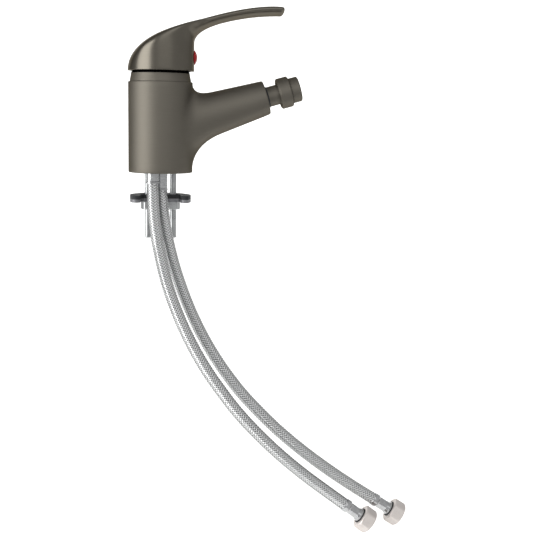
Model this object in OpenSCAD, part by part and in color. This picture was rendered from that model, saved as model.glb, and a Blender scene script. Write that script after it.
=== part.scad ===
// Bidet mixer: one lever, a ball-jointed nozzle, two braided hoses and its deck fixing.
// Millimetres. The origin is on the deck at the body's axis, +X toward the nozzle, +Z up.

/* [Body] */
// Diameter of the body
body_d = 50; // [48:0.5:54]
// Height of the body above the deck
body_h = 70; // [68:0.5:76]
// Rounding of the body's outer edges
body_edge = 0.8; // [0.4:0.1:1.2]
// Depth of the recess under the base
recess_depth = 12; // [10:0.5:14]
// Hole in the deck that the hoses and studs pass through
deck_hole_d = 35; // [35:0.5:36]
// Width of the gasket ring under the base
gasket_w = 5; // [3:0.5:5.5]
// Thickness of that gasket
gasket_t = 2.5; // [1.5:0.25:3]

/* [Spout] */
// Distance from the body's axis to the centre of the spout's end face
spout_reach = 82.8; // [76:0.2:100]
// Distance of the end face's centre below the body's top
spout_drop = 10.6; // [8:0.2:13]
// Upward tilt of the spout's end
spout_tilt = 16; // [13:0.5:19]
// Diameter of the spout's end
spout_end_d = 26.6; // [25:0.2:29]
// Slope of the spout's top line
top_slope = 13.2; // [11:0.2:15]
// Slope of the spout's underside
under_slope = 22.3; // [20:0.2:24]
// Width of the flare where the spout leaves the body
flare_w = 40.4; // [36:0.4:42]
// Diameter of the waterway in the spout
channel_d = 9; // [7:0.5:9.5]

/* [Nozzle] */
// Diameter of the fixed neck
neck_d = 15.6; // [14.4:0.1:15.8]
// Length of the neck that shows
neck_len = 10.2; // [9:0.1:14]
// Diameter of the ball
ball_d = 18.8; // [18.6:0.1:20]
// Thickness of the liner that the ball turns in
liner_t = 0.7; // [0.5:0.1:1]
// Wall of the cap, and of the tip's thread inside it
nozzle_wall = 0.95; // [0.8:0.05:1.4]
// Length of the cap
cap_len = 9.4; // [9.2:0.1:11]
// Diameter of the tip
tip_d = 19.7; // [19:0.1:20.4]
// Length of the tip in front of the cap
tip_len = 7.6; // [7.2:0.1:10]
// Tilt of the nozzle each way
nozzle_swing = 10; // [6:0.5:11]

/* [Bonnet] */
// Diameter of the bonnet's foot
bonnet_d = 47.6; // [46.8:0.1:47.8]
// Height of its conical part
bonnet_cone = 7; // [6:0.2:8]
// Wall of the bonnet
bonnet_wall = 1.3; // [1:0.1:1.5]
// Radius of its dome about the lever's pivot
dome_r = 26; // [25.6:0.1:26.2]

/* [Lever] */
// Diameter of the lever's skirt
skirt_d = 51.4; // [51:0.1:53]
// Gap between the body's top and the skirt's edge
skirt_gap = 8.2; // [7.8:0.1:9]
// Distance from the body's axis to the lever's tip
lever_reach = 96; // [88:0.5:108]
// Height of the tip above the skirt's edge
lever_rise = 51; // [49:0.5:56]
// Height of the crown, where the handle leaves the dome, above the skirt's edge
crown_rise = 35.7; // [35:0.1:36.5]
// Width of the handle at its root
root_w = 31; // [28:0.5:34]
// Width of the handle along its length
handle_w = 19.5; // [16:0.5:22]
// Thickness of the handle
handle_t = 7; // [6:0.2:8]
// Wall of the hollow dome
lever_wall = 2.6; // [2:0.1:3]
// Diameter of the index plug
plug_d = 11; // [9:0.5:12]
// Lift of the lever from closed to fully open
lever_lift = 25; // [20:1:26]

/* [Cartridge] */
// Diameter of the cartridge
cartridge_d = 40; // [39:0.2:40.4]
// Depth of the cartridge's seat below the body's top
cartridge_depth = 32; // [31:0.2:32.6]
// Height of the lever's pivot above that seat
pivot_rise = 26; // [25.6:0.1:26.6]
// Width of the square stem
stem_w = 9; // [8.4:0.1:9.4]
// Distance from the pivot to the stem's finger
finger_len = 11; // [10.6:0.1:11.4]
// Diameter of the stem's pin
pin_d = 4; // [3:0.5:4.5]
// Thickness of each ceramic disc
disc_t = 3; // [2.6:0.1:3.2]

/* [Hoses] */
// Diameter of the braided hoses
hose_d = 9.6; // [8.8:0.1:9.8]
// Diameter of the crimped ferrules
ferrule_d = 10; // [9.8:0.1:10.2]
// Diameter of the threaded tails in the base
tail_d = 8; // [7:0.5:8.5]
// Width across the flats of the union nuts
union_af = 18; // [17.4:0.2:20]
// Length of the union nuts
union_len = 10; // [9:0.5:14]
// Diameter of the union nuts' threaded bore
union_bore_d = 15; // [14:0.2:15.2]

/* [Fixing] */
// Diameter of the studs
stud_d = 6; // [5:0.5:6]
// Length of the studs
stud_len = 76; // [70:1:90]
// Depth of the studs in the base
stud_depth = 11; // [8:0.5:13]
// Distance between the two studs
stud_spacing = 20; // [19:0.2:21]
// Thickness of the deck that is clamped
deck_t = 18; // [16:0.5:24]
// Diameter of the clamp plate and its pad
plate_d = 48; // [46:0.5:52]
// Thickness of the clamp plate
plate_t = 2.5; // [2:0.1:3]
// Thickness of the rubber pad above it
pad_t = 3; // [2:0.1:4]
// Width across the flats of the stud nuts
stud_nut_af = 10; // [9:0.5:11]
// Height of the stud nuts
stud_nut_h = 6.5; // [5:0.5:8]

/* [Hidden] */
$fn = 72;

// Colours of the finishes
graphite = "#5f5a52";
nickel = "#d9d3cf";
steel = "#b9bcbe";
grey_steel = "#77787a";
brass = "#b08d4a";
black_rubber = "#1c1f22";
white_plastic = "#dcdcd8";
ceramic_white = "#efece4";

// Radial fit of pins, threads and balls, and the room between parts that pass each other
fit = 0.05;
room = 0.3;

// Body: its radii and the levels of the cartridge's seat and the base
body_r = body_d / 2;
gasket_in = deck_hole_d / 2 - room;
gasket_out = gasket_in + gasket_w;
recess_r = gasket_in - room;
seat_z = body_h - cartridge_depth;
cartridge_r = cartridge_d / 2;
chamber_r = cartridge_r + 0.2;
nut_thread_r = chamber_r + 1.8;
nut_corner_r = nut_thread_r - 0.6;

// Spout: its end, the directions along and across it, and the curves of its outline
end_r = spout_end_d / 2;
spout_end = [spout_reach, 0, body_h - spout_drop];
aim = [cos(spout_tilt), 0, sin(spout_tilt)];
rise = [-sin(spout_tilt), 0, cos(spout_tilt)];
end_top = spout_end + end_r * rise;
end_foot = spout_end - end_r * rise;
flare_top = body_h - body_edge - 0.3;
flare_foot = 2;
top_fillet = 14.5;
under_fillet = 22.5;
spout_sides = 36;

// Nozzle: stations along its axis from the spout's end face
neck_r = neck_d / 2;
ball_r = ball_d / 2;
socket_r = ball_r + fit;
pocket_r = socket_r + liner_t + fit;
head_r = socket_r + 0.15;
pocket_from = -15.5;
pocket_to = 18.2;
liner_from = pocket_from + nozzle_swing + 2;
liner_to = max(liner_from + 3, pocket_to - nozzle_swing - 1.4);
tip_thread_r = pocket_r + 0.8;
cap_r = tip_thread_r + fit + nozzle_wall;
ball_at = neck_len + sqrt(ball_r * ball_r - neck_r * neck_r);
lip_angle = asin(neck_r / socket_r) + nozzle_swing + 1.5;
lip_r = socket_r * sin(lip_angle);
spigot_r = lip_r - 0.2;
spigot_len = 9;
nose_r = spigot_r - 1.8;
nose_len = 3.4;
cap_end = neck_len + cap_len;
tip_end = cap_end + tip_len;
pocket_floor = ball_at + 6.4;
ball_cut = ball_at + 4.5;
aerator_r = tip_d / 2 - 1.6;
nozzle_bore_r = 4;

// Cartridge: levels above the deck
pivot_z = seat_z + pivot_rise;
lean = lever_lift / 2;
base_t = 5;
plenum_h = 2;
fixed_z = seat_z + base_t;
moving_z = fixed_z + disc_t + fit;
carrier_z = moving_z + disc_t;
finger_z = pivot_z - finger_len * cos(lean);
finger_x = -finger_len * sin(lean);
finger_r = 2.4;
carrier_top = finger_z + 0.8;
rotor_z = carrier_top + room;
flange_t = 4;
roof_z = rotor_z + flange_t + room;
shoulder_z = roof_z + 3.3;
neck_rise = 8;
neck_top = shoulder_z + neck_rise;
stem_len = 37;

// Cartridge: radii from its wall inwards, and the ports through its base and fixed disc
bore_r = cartridge_r - 2.7;
fixed_disc_r = bore_r - 1.5;
moving_disc_r = bore_r - 4.8;
carrier_r = bore_r - 3.8;
carrier_half = carrier_r - 2.5;
flange_r = bore_r - 0.4;
rotor_r = bore_r - 4.8;
housing_neck_r = rotor_r + 2;
inlet = fixed_disc_r * [0.475, 0.443];
outlet_x = -0.538 * fixed_disc_r;
inlet_r = 2.8;
outlet_r = 4;
seal_w = 1.6;
seal_t = 1.5;
seal_in = inlet_r + 0.6;
boss_r = seal_in + seal_w + 0.8;
ring_t = 1.4;
ring_depth = 1.3;
ring_z = plenum_h + 0.8;
mouth_x = chamber_r - 5.2;

// Lever: its skirt, the curves of its outline and the stem's hub
skirt_r = skirt_d / 2;
skirt_x = 0.4;
skirt_z = body_h + skirt_gap;
skirt_front = skirt_x + skirt_r;
skirt_back = skirt_x - skirt_r;
crown = [18.9, skirt_z + crown_rise];
tip_top = [lever_reach - 2.6, skirt_z + lever_rise - 0.4];
tip_foot = tip_top - [1.2, handle_t];
back_curve = [[skirt_back, skirt_z], [skirt_back, skirt_z + 0.6 * crown_rise],
    crown - [18, 6.16], crown];
top_curve = [crown, crown + [30, 10.3], tip_top - [18.5, -1.2], tip_top];
under_start = [skirt_front, skirt_z + 21.5];
under_turn = [skirt_front, skirt_z + 30.5];
under_join = [45.4, skirt_z + 36.6];
under_sag = [68, skirt_z + 43.3];
lever_sides = 44;
corner = 4;
dome_high = crown_rise + 1.5;
hub_r = 8;
hub_start = 23.5;
hub_len = 30;
dome_room = 0.4;
plug_z = skirt_z + 10.7;
plug_seat = skirt_front - 1.2;
plug_out = 2.4;
plug_clear = 10;
screw_d = 5;
screw_len = 6;
screw_x = (plug_z - pivot_z) * tan(lean) + stem_w / 2 / cos(lean) + 0.6;
screw_foot = [screw_x + screw_len, plug_z - screw_d / 2 - pivot_z];

// Mouth of the bonnet: clear of the hub, and of the screw where the dome reaches it
hub_mouth_r = hub_start * sin(lean) + hub_r * cos(lean) + 2.1;
screw_mouth_r = dome_r * sin(atan2(screw_foot.x + dome_room, screw_foot.y));
bonnet_mouth_r = norm(screw_foot) > dome_r + dome_room ? hub_mouth_r : max(hub_mouth_r, screw_mouth_r);

// Fixing: where the studs stand and the clamp lies
stud_x = stud_spacing / 2;
stud_y = sqrt(pow(deck_hole_d / 2 - stud_d / 2 - 1, 2) - stud_x * stud_x);
stud_top = recess_depth + stud_depth;
slot_w = stud_d + 0.7;
slot_len = slot_w + 3.4;
slot_y = 6.7;
plate_r = plate_d / 2;
plate_y = stud_y - slot_y;
arm_in = plate_r - 8.4;
arm_end = 9;
arm_tip_r = (sqrt(plate_r * plate_r - arm_end * arm_end) - arm_in) / 2;
notch_r = 3.05;
notch_end = plate_r - 9.2;
tab_round = 2.5;
mouth_round = 3;
pad_z = -deck_t - pad_t;
plate_z = pad_z - plate_t;
stud_nut_z = plate_z - stud_nut_h;

// Hoses: ports in the base, tails and ferrules, and the route of each hose from ferrule to ferrule
hose_r = hose_d / 2;
ferrule_r = ferrule_d / 2;
tail_r = tail_d / 2;
hot_port = [-6.2, -10];
cold_port = [0.4, -1.6];
ports = [hot_port, cold_port];
collar_t = 2.5;
tail_len = 8;
hot_ferrule_end = -8;
cold_ferrule_end = -14;
ferrule_ends = [hot_ferrule_end, cold_ferrule_end];
hose_sides = 10;
hot_route = [
    [hot_port.x, hot_port.y, hot_ferrule_end], [-5.5, -10.5, -27.5], [-3.5, -12, -46.5], [0, -14.2, -65.5],
    [4.5, -17, -84], [10.5, -20.2, -102], [18, -23.6, -120], [26.5, -26.9, -137], [36.3, -30.1, -153.5],
    [47.2, -33, -169], [59, -35.9, -184.2], [72, -38.5, -198.5], [85.7, -40.7, -212], [100, -42.4, -224.8],
    [115, -43.8, -237], [130.5, -44.8, -248.7], [146, -45.5, -260.2]
];
cold_route = [
    [cold_port.x, cold_port.y, cold_ferrule_end], [2.3, -2.7, -33.5], [5.8, -4.4, -53], [10.5, -6.5, -72],
    [16.5, -9.2, -90.5], [23.6, -12.2, -108.5], [32, -15.4, -126], [41.6, -18.6, -142.7],
    [52.5, -21.7, -158.7], [64.6, -24.6, -174], [78, -27.2, -188.2], [92, -29.5, -201.8],
    [106.8, -31.5, -214.5], [122.2, -32.9, -226.6], [138.2, -34.1, -238.2], [154.5, -35.1, -249.2],
    [171, -36, -259.8]
];
routes = [hot_route, cold_route];
bead_len = 4.5;
sleeve_len = 8;
flare_len = 3.2;
nut_gap = 0.8;
nut_back = bead_len + sleeve_len + flare_len + nut_gap;
nut_wall = 2.2;
tail_flange_t = 1.4;
washer_t = 1.6;
union_throat_r = ferrule_r + fit;

function unit(v) = v / norm(v);
function bez2(c, t) = (1 - t) * (1 - t) * c[0] + 2 * t * (1 - t) * c[1] + t * t * c[2];
function bez3(c, t) =
    pow(1 - t, 3) * c[0] + 3 * t * pow(1 - t, 2) * c[1] + 3 * t * t * (1 - t) * c[2] + pow(t, 3) * c[3];
function squarish(v, power) = sign(v) * pow(abs(v), 2 / power);
function arc(c, r, a0, a1, n) = [for (i = [0:n]) let (a = a0 + (a1 - a0) * i / n) c + r * [cos(a), sin(a)]];

// Solid through a list of rings with equal counts, turning about the way that they advance
module loft(rings) {
    n = len(rings[0]);
    last = len(rings) - 1;
    sides = [for (k = [0:last - 1], i = [0:n - 1]) each [
        [k * n + i, (k + 1) * n + i, (k + 1) * n + (i + 1) % n],
        [k * n + i, (k + 1) * n + (i + 1) % n, k * n + (i + 1) % n]
    ]];
    start = [for (i = [0:n - 1]) i];
    end = [for (i = [n - 1:-1:0]) last * n + i];
    polyhedron(points = [for (ring = rings) each ring], faces = concat([start], sides, [end]));
}

// Solid of revolution from points of radius and height
module turned(points) {
    rotate_extrude() polygon(points);
}

module tube(outer, inner, h) {
    difference() {
        cylinder(r = outer, h = h);
        translate([0, 0, -1]) cylinder(r = inner, h = h + 2);
    }
}

// Places a child that stands on Z at a point, with Z turned along a direction
module along(point, direction) {
    d = unit(direction);
    translate(point) rotate([0, acos(d.z), atan2(d.y, d.x)]) children();
}

// Straight bore between two points
module bore_between(from, to, r) {
    along(from, to - from) cylinder(r = r, h = norm(to - from));
}

// Places a child that stands on Z at the spout's end, with Z along the nozzle
module on_spout_end() {
    along(spout_end, aim) children();
}

// Hexagonal nut blank with turned corners
module hex_blank(af, h) {
    corner = af / sqrt(3);
    soft = 0.06 * af;
    intersection() {
        cylinder(r = corner, h = h, $fn = 6);
        turned([[0, 0], [corner - 1.6 * soft, 0], [corner - soft * 0.4, soft],
            [corner - soft * 0.4, h - soft], [corner - 1.6 * soft, h], [0, h]]);
    }
}

// One ring of the spout, where t runs over the flare; its sides follow the round body at the start
function spout_ring(top, foot, half, wrap) = [
    for (i = [0:spout_sides - 1])
        let (a = 360 * i / spout_sides, y = half * cos(a),
            back = wrap * (body_r - sqrt(body_r * body_r - y * y)))
        (top + foot) / 2 + (top - foot) / 2 * sin(a) + [-back, y, 0]
];

function on_wall(z, out) = [body_r + out, 0, z];
function on_top(x) = [x, 0, end_top.z - tan(top_slope) * (end_top.x - x)];
function on_under(x) = [x, 0, end_foot.z - tan(under_slope) * (end_foot.x - x)];
flare_tops = [on_wall(flare_top, -0.2), on_top(body_r + 0.5), on_top(body_r + 0.5 + top_fillet)];
flare_feet = [on_wall(flare_foot, -0.2), on_under(body_r + 0.5), on_under(body_r + 0.5 + under_fillet)];
flare_halves = [flare_w / 2, end_r + 1.4, end_r + 0.9];
flare_steps = 9;
spout_rings = concat(
    [spout_ring([8, 0, flare_top - 4], [8, 0, flare_foot + 4], flare_w / 2 - 0.2, 0)],
    [for (k = [0:flare_steps]) let (t = k / flare_steps)
        spout_ring(bez2(flare_tops, t), bez2(flare_feet, t), bez2(flare_halves, t), pow(1 - t * t, 2))],
    [for (t = [0.5, 1])
        spout_ring((1 - t) * flare_tops[2] + t * end_top, (1 - t) * flare_feet[2] + t * end_foot,
            (1 - t) * flare_halves[2] + t * end_r, 0)]
);

module barrel() {
    turned(concat(
        [[0, 0]],
        arc([body_r - body_edge, body_edge], body_edge, -90, 0, 3),
        arc([body_r - body_edge, body_h - body_edge], body_edge, 0, 90, 3),
        [[0, body_h]]
    ));
}

// Recess, gasket groove, hose ports and stud holes in the base
module base_cuts() {
    translate([0, 0, -1]) cylinder(r = recess_r, h = recess_depth + 1);
    translate([0, 0, -1]) tube(gasket_out + fit, recess_r - 1, gasket_t + 1);
    for (p = ports)
        translate([p.x, p.y, recess_depth - 1]) cylinder(r = tail_r + fit, h = tail_len + 2);
    for (side = [-1, 1])
        translate([side * stud_x, stud_y, recess_depth - 1])
            cylinder(r = stud_d / 2 + fit, h = stud_depth + 1);
}

// Cartridge chamber and the waterways that join it to the ports and the spout
module water_cuts() {
    port_top = recess_depth + tail_len;
    low = seat_z - 12;
    channel_end = spout_end - (spigot_len + nose_len + 0.5) * aim;
    translate([0, 0, seat_z]) cylinder(r = chamber_r, h = cartridge_depth + 1);
    translate([0, 0, shoulder_z - 0.5]) cylinder(r = nut_thread_r, h = body_h);
    bore_between([hot_port.x, hot_port.y, port_top], [inlet.x, -inlet.y, seat_z + 1], inlet_r);
    bore_between([cold_port.x, cold_port.y, port_top], [inlet.x, inlet.y, seat_z + 1], inlet_r);
    translate([mouth_x, 0, low]) cylinder(r = outlet_r, h = seat_z - low + 1);
    bore_between([mouth_x, 0, low], channel_end, channel_d / 2);
    on_spout_end() {
        translate([0, 0, -spigot_len]) cylinder(r = spigot_r + fit, h = spigot_len + 1);
        translate([0, 0, -spigot_len - nose_len - 1]) cylinder(r = nose_r + room, h = nose_len + 2);
    }
}

module body() {
    color(graphite) difference() {
        union() {
            barrel();
            loft(spout_rings);
        }
        base_cuts();
        water_cuts();
    }
}

module base_gasket() {
    color(black_rubber) tube(gasket_out, gasket_in, gasket_t);
}

module bonnet() {
    cone_top = body_h + bonnet_cone;
    dome_foot = asin((cone_top - pivot_z) / dome_r);
    dome_edge = acos(bonnet_mouth_r / dome_r);
    inner = dome_r - bonnet_wall;
    inner_foot = asin((cone_top - pivot_z) / inner);
    color(graphite) turned(concat(
        [[bonnet_d / 2 - bonnet_wall, body_h], [bonnet_d / 2, body_h]],
        arc([0, pivot_z], dome_r, dome_foot, dome_edge, 6),
        arc([0, pivot_z], inner, dome_edge, inner_foot, 6)
    ));
}

// Ring nut that screws into the body and holds the cartridge down
module cartridge_nut() {
    color(brass) translate([0, 0, shoulder_z]) difference() {
        union() {
            cylinder(r = nut_thread_r - fit, h = body_h - shoulder_z - 1);
            cylinder(r = nut_corner_r, h = body_h - shoulder_z + 3.5, $fn = 6);
        }
        translate([0, 0, -1]) cylinder(r = housing_neck_r + room, h = body_h);
    }
}

module cartridge_housing() {
    color(white_plastic) difference() {
        union() {
            translate([0, 0, fixed_z]) cylinder(r = cartridge_r, h = shoulder_z - fixed_z);
            translate([0, 0, shoulder_z - 1]) cylinder(r = housing_neck_r, h = neck_top - shoulder_z + 1);
        }
        translate([0, 0, fixed_z - 1]) cylinder(r = bore_r, h = roof_z - fixed_z + 1);
        translate([0, 0, roof_z - 1]) cylinder(r = rotor_r + fit, h = neck_top);
    }
}

// Holes of the two inlets and the outlet through the cartridge's base and fixed disc
module water_holes(h) {
    for (side = [-1, 1])
        translate([inlet.x, side * inlet.y, -1]) cylinder(r = inlet_r, h = h + 2);
    translate([outlet_x, 0, -1]) cylinder(r = outlet_r, h = h + 2);
}

// Base on two inlet bosses and a foot, so that mixed water runs out below it to the spout
module cartridge_base() {
    color(white_plastic) translate([0, 0, seat_z]) difference() {
        union() {
            translate([0, 0, plenum_h]) cylinder(r = cartridge_r, h = base_t - plenum_h);
            for (side = [-1, 1])
                translate([inlet.x, side * inlet.y, 0]) cylinder(r = boss_r, h = base_t);
            translate([-cartridge_r + 4, 0, 0]) cylinder(r = 2.5, h = base_t);
        }
        water_holes(base_t);
        for (side = [-1, 1])
            translate([inlet.x, side * inlet.y, -1]) tube(seal_in + seal_w + fit, seal_in - fit, seal_t + 1);
        translate([0, 0, ring_z]) tube(cartridge_r + 1, cartridge_r - ring_depth, ring_t);
    }
}

module cartridge_seals() {
    color(black_rubber) translate([0, 0, seat_z]) {
        for (side = [-1, 1])
            translate([inlet.x, side * inlet.y, 0]) tube(seal_in + seal_w, seal_in, seal_t);
        translate([0, 0, ring_z + fit])
            tube(chamber_r - fit, cartridge_r - ring_depth + fit, ring_t - 2 * fit);
    }
}

module fixed_disc() {
    color(ceramic_white) translate([0, 0, fixed_z]) difference() {
        cylinder(r = fixed_disc_r, h = disc_t);
        water_holes(disc_t);
    }
}

// Sliding disc, with the hollow on its underside that mixes and passes the water
module moving_disc() {
    color(ceramic_white) translate([finger_x, 0, moving_z]) difference() {
        cylinder(r = moving_disc_r, h = disc_t);
        translate([1.8, 0, -1]) cylinder(r = moving_disc_r - 5.5, h = disc_t / 2 + 1);
        translate([-5, 0, -1]) cylinder(r = outlet_r, h = disc_t / 2 + 1);
    }
}

module disc_carrier() {
    color("#6d7f8d") translate([finger_x, 0, 0]) difference() {
        intersection() {
            translate([0, 0, carrier_z]) cylinder(r = carrier_r, h = carrier_top - carrier_z);
            translate([-carrier_r, -carrier_half, carrier_z - 1])
                cube([2 * carrier_r, 2 * carrier_half, carrier_top - carrier_z + 2]);
        }
        translate([-finger_r - room, -stem_w / 2 - room, finger_z - finger_r - 0.7])
            cube([2 * (finger_r + room), stem_w + 2 * room, finger_len]);
    }
}

// Rotor that turns with the lever, holds the stem's pin and guides the carrier between two walls
module rotor() {
    slot = stem_w / 2 / cos(lean) + (neck_top + 1 - pivot_z) * tan(lean) + room;
    guide_z = carrier_z + 0.6;
    color("#8a8d90") difference() {
        union() {
            translate([0, 0, rotor_z]) cylinder(r = rotor_r, h = neck_top + 1 - rotor_z);
            translate([0, 0, rotor_z]) cylinder(r = flange_r, h = flange_t);
            difference() {
                translate([0, 0, guide_z]) cylinder(r = flange_r, h = rotor_z - guide_z + 1);
                translate([-flange_r, -carrier_half - room, guide_z - 1])
                    cube([2 * flange_r, 2 * (carrier_half + room), rotor_z - guide_z + 3]);
            }
        }
        translate([-slot, -stem_w / 2 - room, guide_z - 1])
            cube([2 * slot, stem_w + 2 * room, neck_top + 3 - guide_z]);
        translate([0, 0, pivot_z]) rotate([90, 0, 0])
            cylinder(r = pin_d / 2 + fit / 2, h = 2 * rotor_r + 2, center = true);
    }
}

module stem_pin() {
    color(steel) translate([0, 0, pivot_z]) rotate([90, 0, 0])
        cylinder(r = pin_d / 2, h = 2 * rotor_r - 2, center = true);
}

// Places a child in the stem's frame: origin at the pivot, Z up the leaning stem
module in_stem() {
    translate([0, 0, pivot_z]) rotate([0, lean, 0]) children();
}

module stem() {
    blade = 2 * finger_r - 0.4;
    color(steel) in_stem() difference() {
        union() {
            translate([-stem_w / 2, -stem_w / 2, -4]) cube([stem_w, stem_w, stem_len + 4]);
            translate([-blade / 2, -stem_w / 2, -finger_len]) cube([blade, stem_w, finger_len]);
            translate([0, 0, -finger_len]) rotate([90, 0, 0])
                cylinder(r = finger_r, h = stem_w, center = true);
        }
        rotate([90, 0, 0]) cylinder(r = pin_d / 2 + fit, h = stem_w + 2, center = true);
    }
}

// One level of the lever's hollow: an oval from the sloping back to the upright front
function hollow_ring(t, inset, drop) =
    let (p = bez3(back_curve, t), back = p.x + inset, front = skirt_front - inset,
        half = skirt_r * sqrt(1 - pow((p.y - skirt_z) / dome_high, 2)) - inset)
    [for (i = [0:lever_sides - 1]) let (a = 360 * i / lever_sides)
        [(back + front) / 2 + (front - back) / 2 * cos(a), half * sin(a), p.y - drop]];

// One section of the dome: the skirt's circle, cut off with round corners where the back slopes over it
function dome_ring(t) =
    let (top = bez3(back_curve, t), foot = [skirt_front, skirt_z + t * (under_start.y - skirt_z)],
        c = (top.x + skirt_front) / 2, e = c - skirt_x, back = c - top.x,
        side = sqrt(pow(skirt_r, 2) - e * e),
        cut = pow(back, -corner) - pow(e + skirt_r, -corner), rise = (top.y - foot.y) / (2 * back),
        flare = 1 + pow(max(t - 0.6, 0) / 0.4, 3) * (root_w / 2 / root_half - 1))
    [for (i = [0:lever_sides - 1])
        let (turn = 360 * i / lever_sides + 90, a = atan2(side * sin(turn), back * cos(turn)),
            wall = sqrt(pow(skirt_r, 2) - pow(e * sin(a), 2)) - e * cos(a),
            r = pow(pow(wall, -corner) + max(cut, 0) * pow(max(-cos(a), 0), corner), -1 / corner))
        [c + r * cos(a), flare * r * sin(a), foot.y + rise * (back - r * cos(a))]];

// The dome's last section in shares of its height and width, where the handle starts
root_at = (crown.x + skirt_front) / 2;
root_half = sqrt(pow(skirt_r, 2) - pow(root_at - skirt_x, 2));
root_shape = [for (p = dome_ring(1)) [(root_at - p.x) / (root_at - crown.x), p.y / (root_w / 2)]];

// One section of the handle between its top line and its underside, from the root's shape to an even one
function handle_ring(top, foot, half, even) =
    let (c = (top + foot) / 2, h = (top - foot) / 2)
    [for (i = [0:lever_sides - 1])
        let (a = 360 * i / lever_sides, full = [squarish(sin(a), 2.5), squarish(cos(a), 2.5)],
            p = root_shape[i] + even * (full - root_shape[i]))
        [c.x + h.x * p[0], half * p[1], c.y + h.y * p[0]]];

handle_tip = (tip_top + tip_foot) / 2;
tip_round = 2.6;
lever_rings = concat(
    [for (k = [0:14]) dome_ring(k / 15)],
    [for (k = [0:7]) let (f = k / 7)
        handle_ring(bez3(top_curve, 0.27 * f), bez2([under_start, under_turn, under_join], f),
            bez2([root_w / 2, handle_w / 2 + 0.8, handle_w / 2 + 0.3], f), f * f * (3 - 2 * f))],
    [for (k = [1:5]) let (g = k / 5)
        handle_ring(bez3(top_curve, 0.27 + 0.73 * g), bez2([under_join, under_sag, tip_foot], g),
            handle_w / 2 + 0.3 - 1.6 * g * (1 - g), 1)],
    [for (a = [35, 65, 88])
        let (thin = 1 - tip_round / handle_t * 2 * (1 - cos(a)), slim = 1 - 0.55 * (1 - cos(a)),
            c = handle_tip + [tip_round * sin(a), 0])
        handle_ring(c + thin * (tip_top - handle_tip), c + thin * (tip_foot - handle_tip),
            slim * (handle_w / 2 + 0.3), 1)]
);

module lever_hub() {
    intersection() {
        in_stem() translate([0, 0, hub_start]) cylinder(r = hub_r, h = hub_len);
        loft([for (k = [0:12]) hollow_ring(k / 12, 0.6, 0.6)]);
    }
}

module lever() {
    color(graphite) difference() {
        union() {
            difference() {
                loft(lever_rings);
                loft([for (k = [0:9]) hollow_ring(k / 12, lever_wall, lever_wall + 0.4)]);
                translate([0, 0, pivot_z]) sphere(r = dome_r + dome_room);
            }
            lever_hub();
        }
        in_stem() translate([-stem_w / 2 - fit, -stem_w / 2 - fit, 0])
            cube([stem_w + 2 * fit, stem_w + 2 * fit, stem_len + fit]);
        translate([0, 0, plug_z]) rotate([0, 90, 0]) {
            cylinder(r = screw_d / 2 + fit, h = skirt_front + 5);
            translate([0, 0, plug_seat]) cylinder(r = plug_d / 2 + fit, h = plug_clear);
            translate([0, 0, plug_seat - 4]) cylinder(r = plug_d / 2 - 2, h = 5);
        }
    }
}

// Set screw that grips the stem, in the hub behind the index plug
module grub_screw() {
    color(steel) translate([screw_x, 0, plug_z]) rotate([0, 90, 0]) difference() {
        cylinder(r = screw_d / 2, h = screw_len);
        translate([0, 0, 3.5]) cylinder(r = 1.4, h = 4, $fn = 6);
    }
}

// Half of the index plug: a domed button with a stub that snaps into the lever
module half_plug(side) {
    crown_r = (pow(plug_d / 2, 2) + pow(plug_out, 2)) / (2 * plug_out);
    edge = acos(plug_d / 2 / crown_r);
    intersection() {
        translate([plug_seat, 0, plug_z]) rotate([0, 90, 0]) turned(concat(
            [[0, -2.4], [plug_d / 2 - 2 - fit, -2.4], [plug_d / 2 - 2 - fit, 0], [plug_d / 2, 0]],
            [for (p = arc([0, 1 + plug_out - crown_r], crown_r, edge, 90, 6)) p]
        ));
        translate([0, side > 0 ? 0 : -20, plug_z - 20]) cube([60, 20, 40]);
    }
}

module index_hot() {
    color("#b3191d") half_plug(-1);
}

module index_cold() {
    color("#1f4fa0") half_plug(1);
}

// Fixed half of the ball joint: thread and nose in the spout, neck and ball in front
module swivel_adaptor() {
    ball_start = -acos(neck_r / ball_r);
    ball_stop = asin((ball_cut - ball_at) / ball_r);
    color(graphite) on_spout_end() turned(concat(
        [[nozzle_bore_r, -spigot_len - nose_len], [nose_r, -spigot_len - nose_len],
            [nose_r, -spigot_len - nose_len + 1], [nose_r - 1.2, -spigot_len - nose_len + 1],
            [nose_r - 1.2, -spigot_len - 0.8], [nose_r, -spigot_len - 0.8], [nose_r, -spigot_len],
            [spigot_r, -spigot_len], [spigot_r, 0], [neck_r, 0]],
        arc([0, ball_at], ball_r, ball_start, ball_stop, 14),
        [[nozzle_bore_r, ball_cut]]
    ));
}

module adaptor_seal() {
    color(black_rubber) on_spout_end() translate([0, 0, -spigot_len - nose_len + 1 + fit])
        tube(nose_r + room - fit, nose_r - 1.2 + fit, nose_len - 1.8 - 2 * fit);
}

// Thin seat between the ball and the tip, part of a sphere inside and outside
module ball_liner() {
    color(white_plastic) on_spout_end() turned(concat(
        arc([0, ball_at], pocket_r - fit, liner_from, liner_to, 4),
        arc([0, ball_at], socket_r, liner_to + 0.6, liner_from, 4)
    ));
}

// Ring that holds the head on the ball: a lip behind the ball and a thread for the tip
module nozzle_cap() {
    color(graphite) on_spout_end() turned(concat(
        [[lip_r + 1.2, neck_len], [cap_r - 0.8, neck_len], [cap_r, neck_len + 0.8], [cap_r, cap_end - 0.8],
            [cap_r - 0.8, cap_end], [tip_thread_r + fit, cap_end],
            [tip_thread_r + fit, ball_at + socket_r * sin(pocket_from)]],
        arc([0, ball_at], socket_r, pocket_from, lip_angle - 90, 3)
    ));
}

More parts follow.
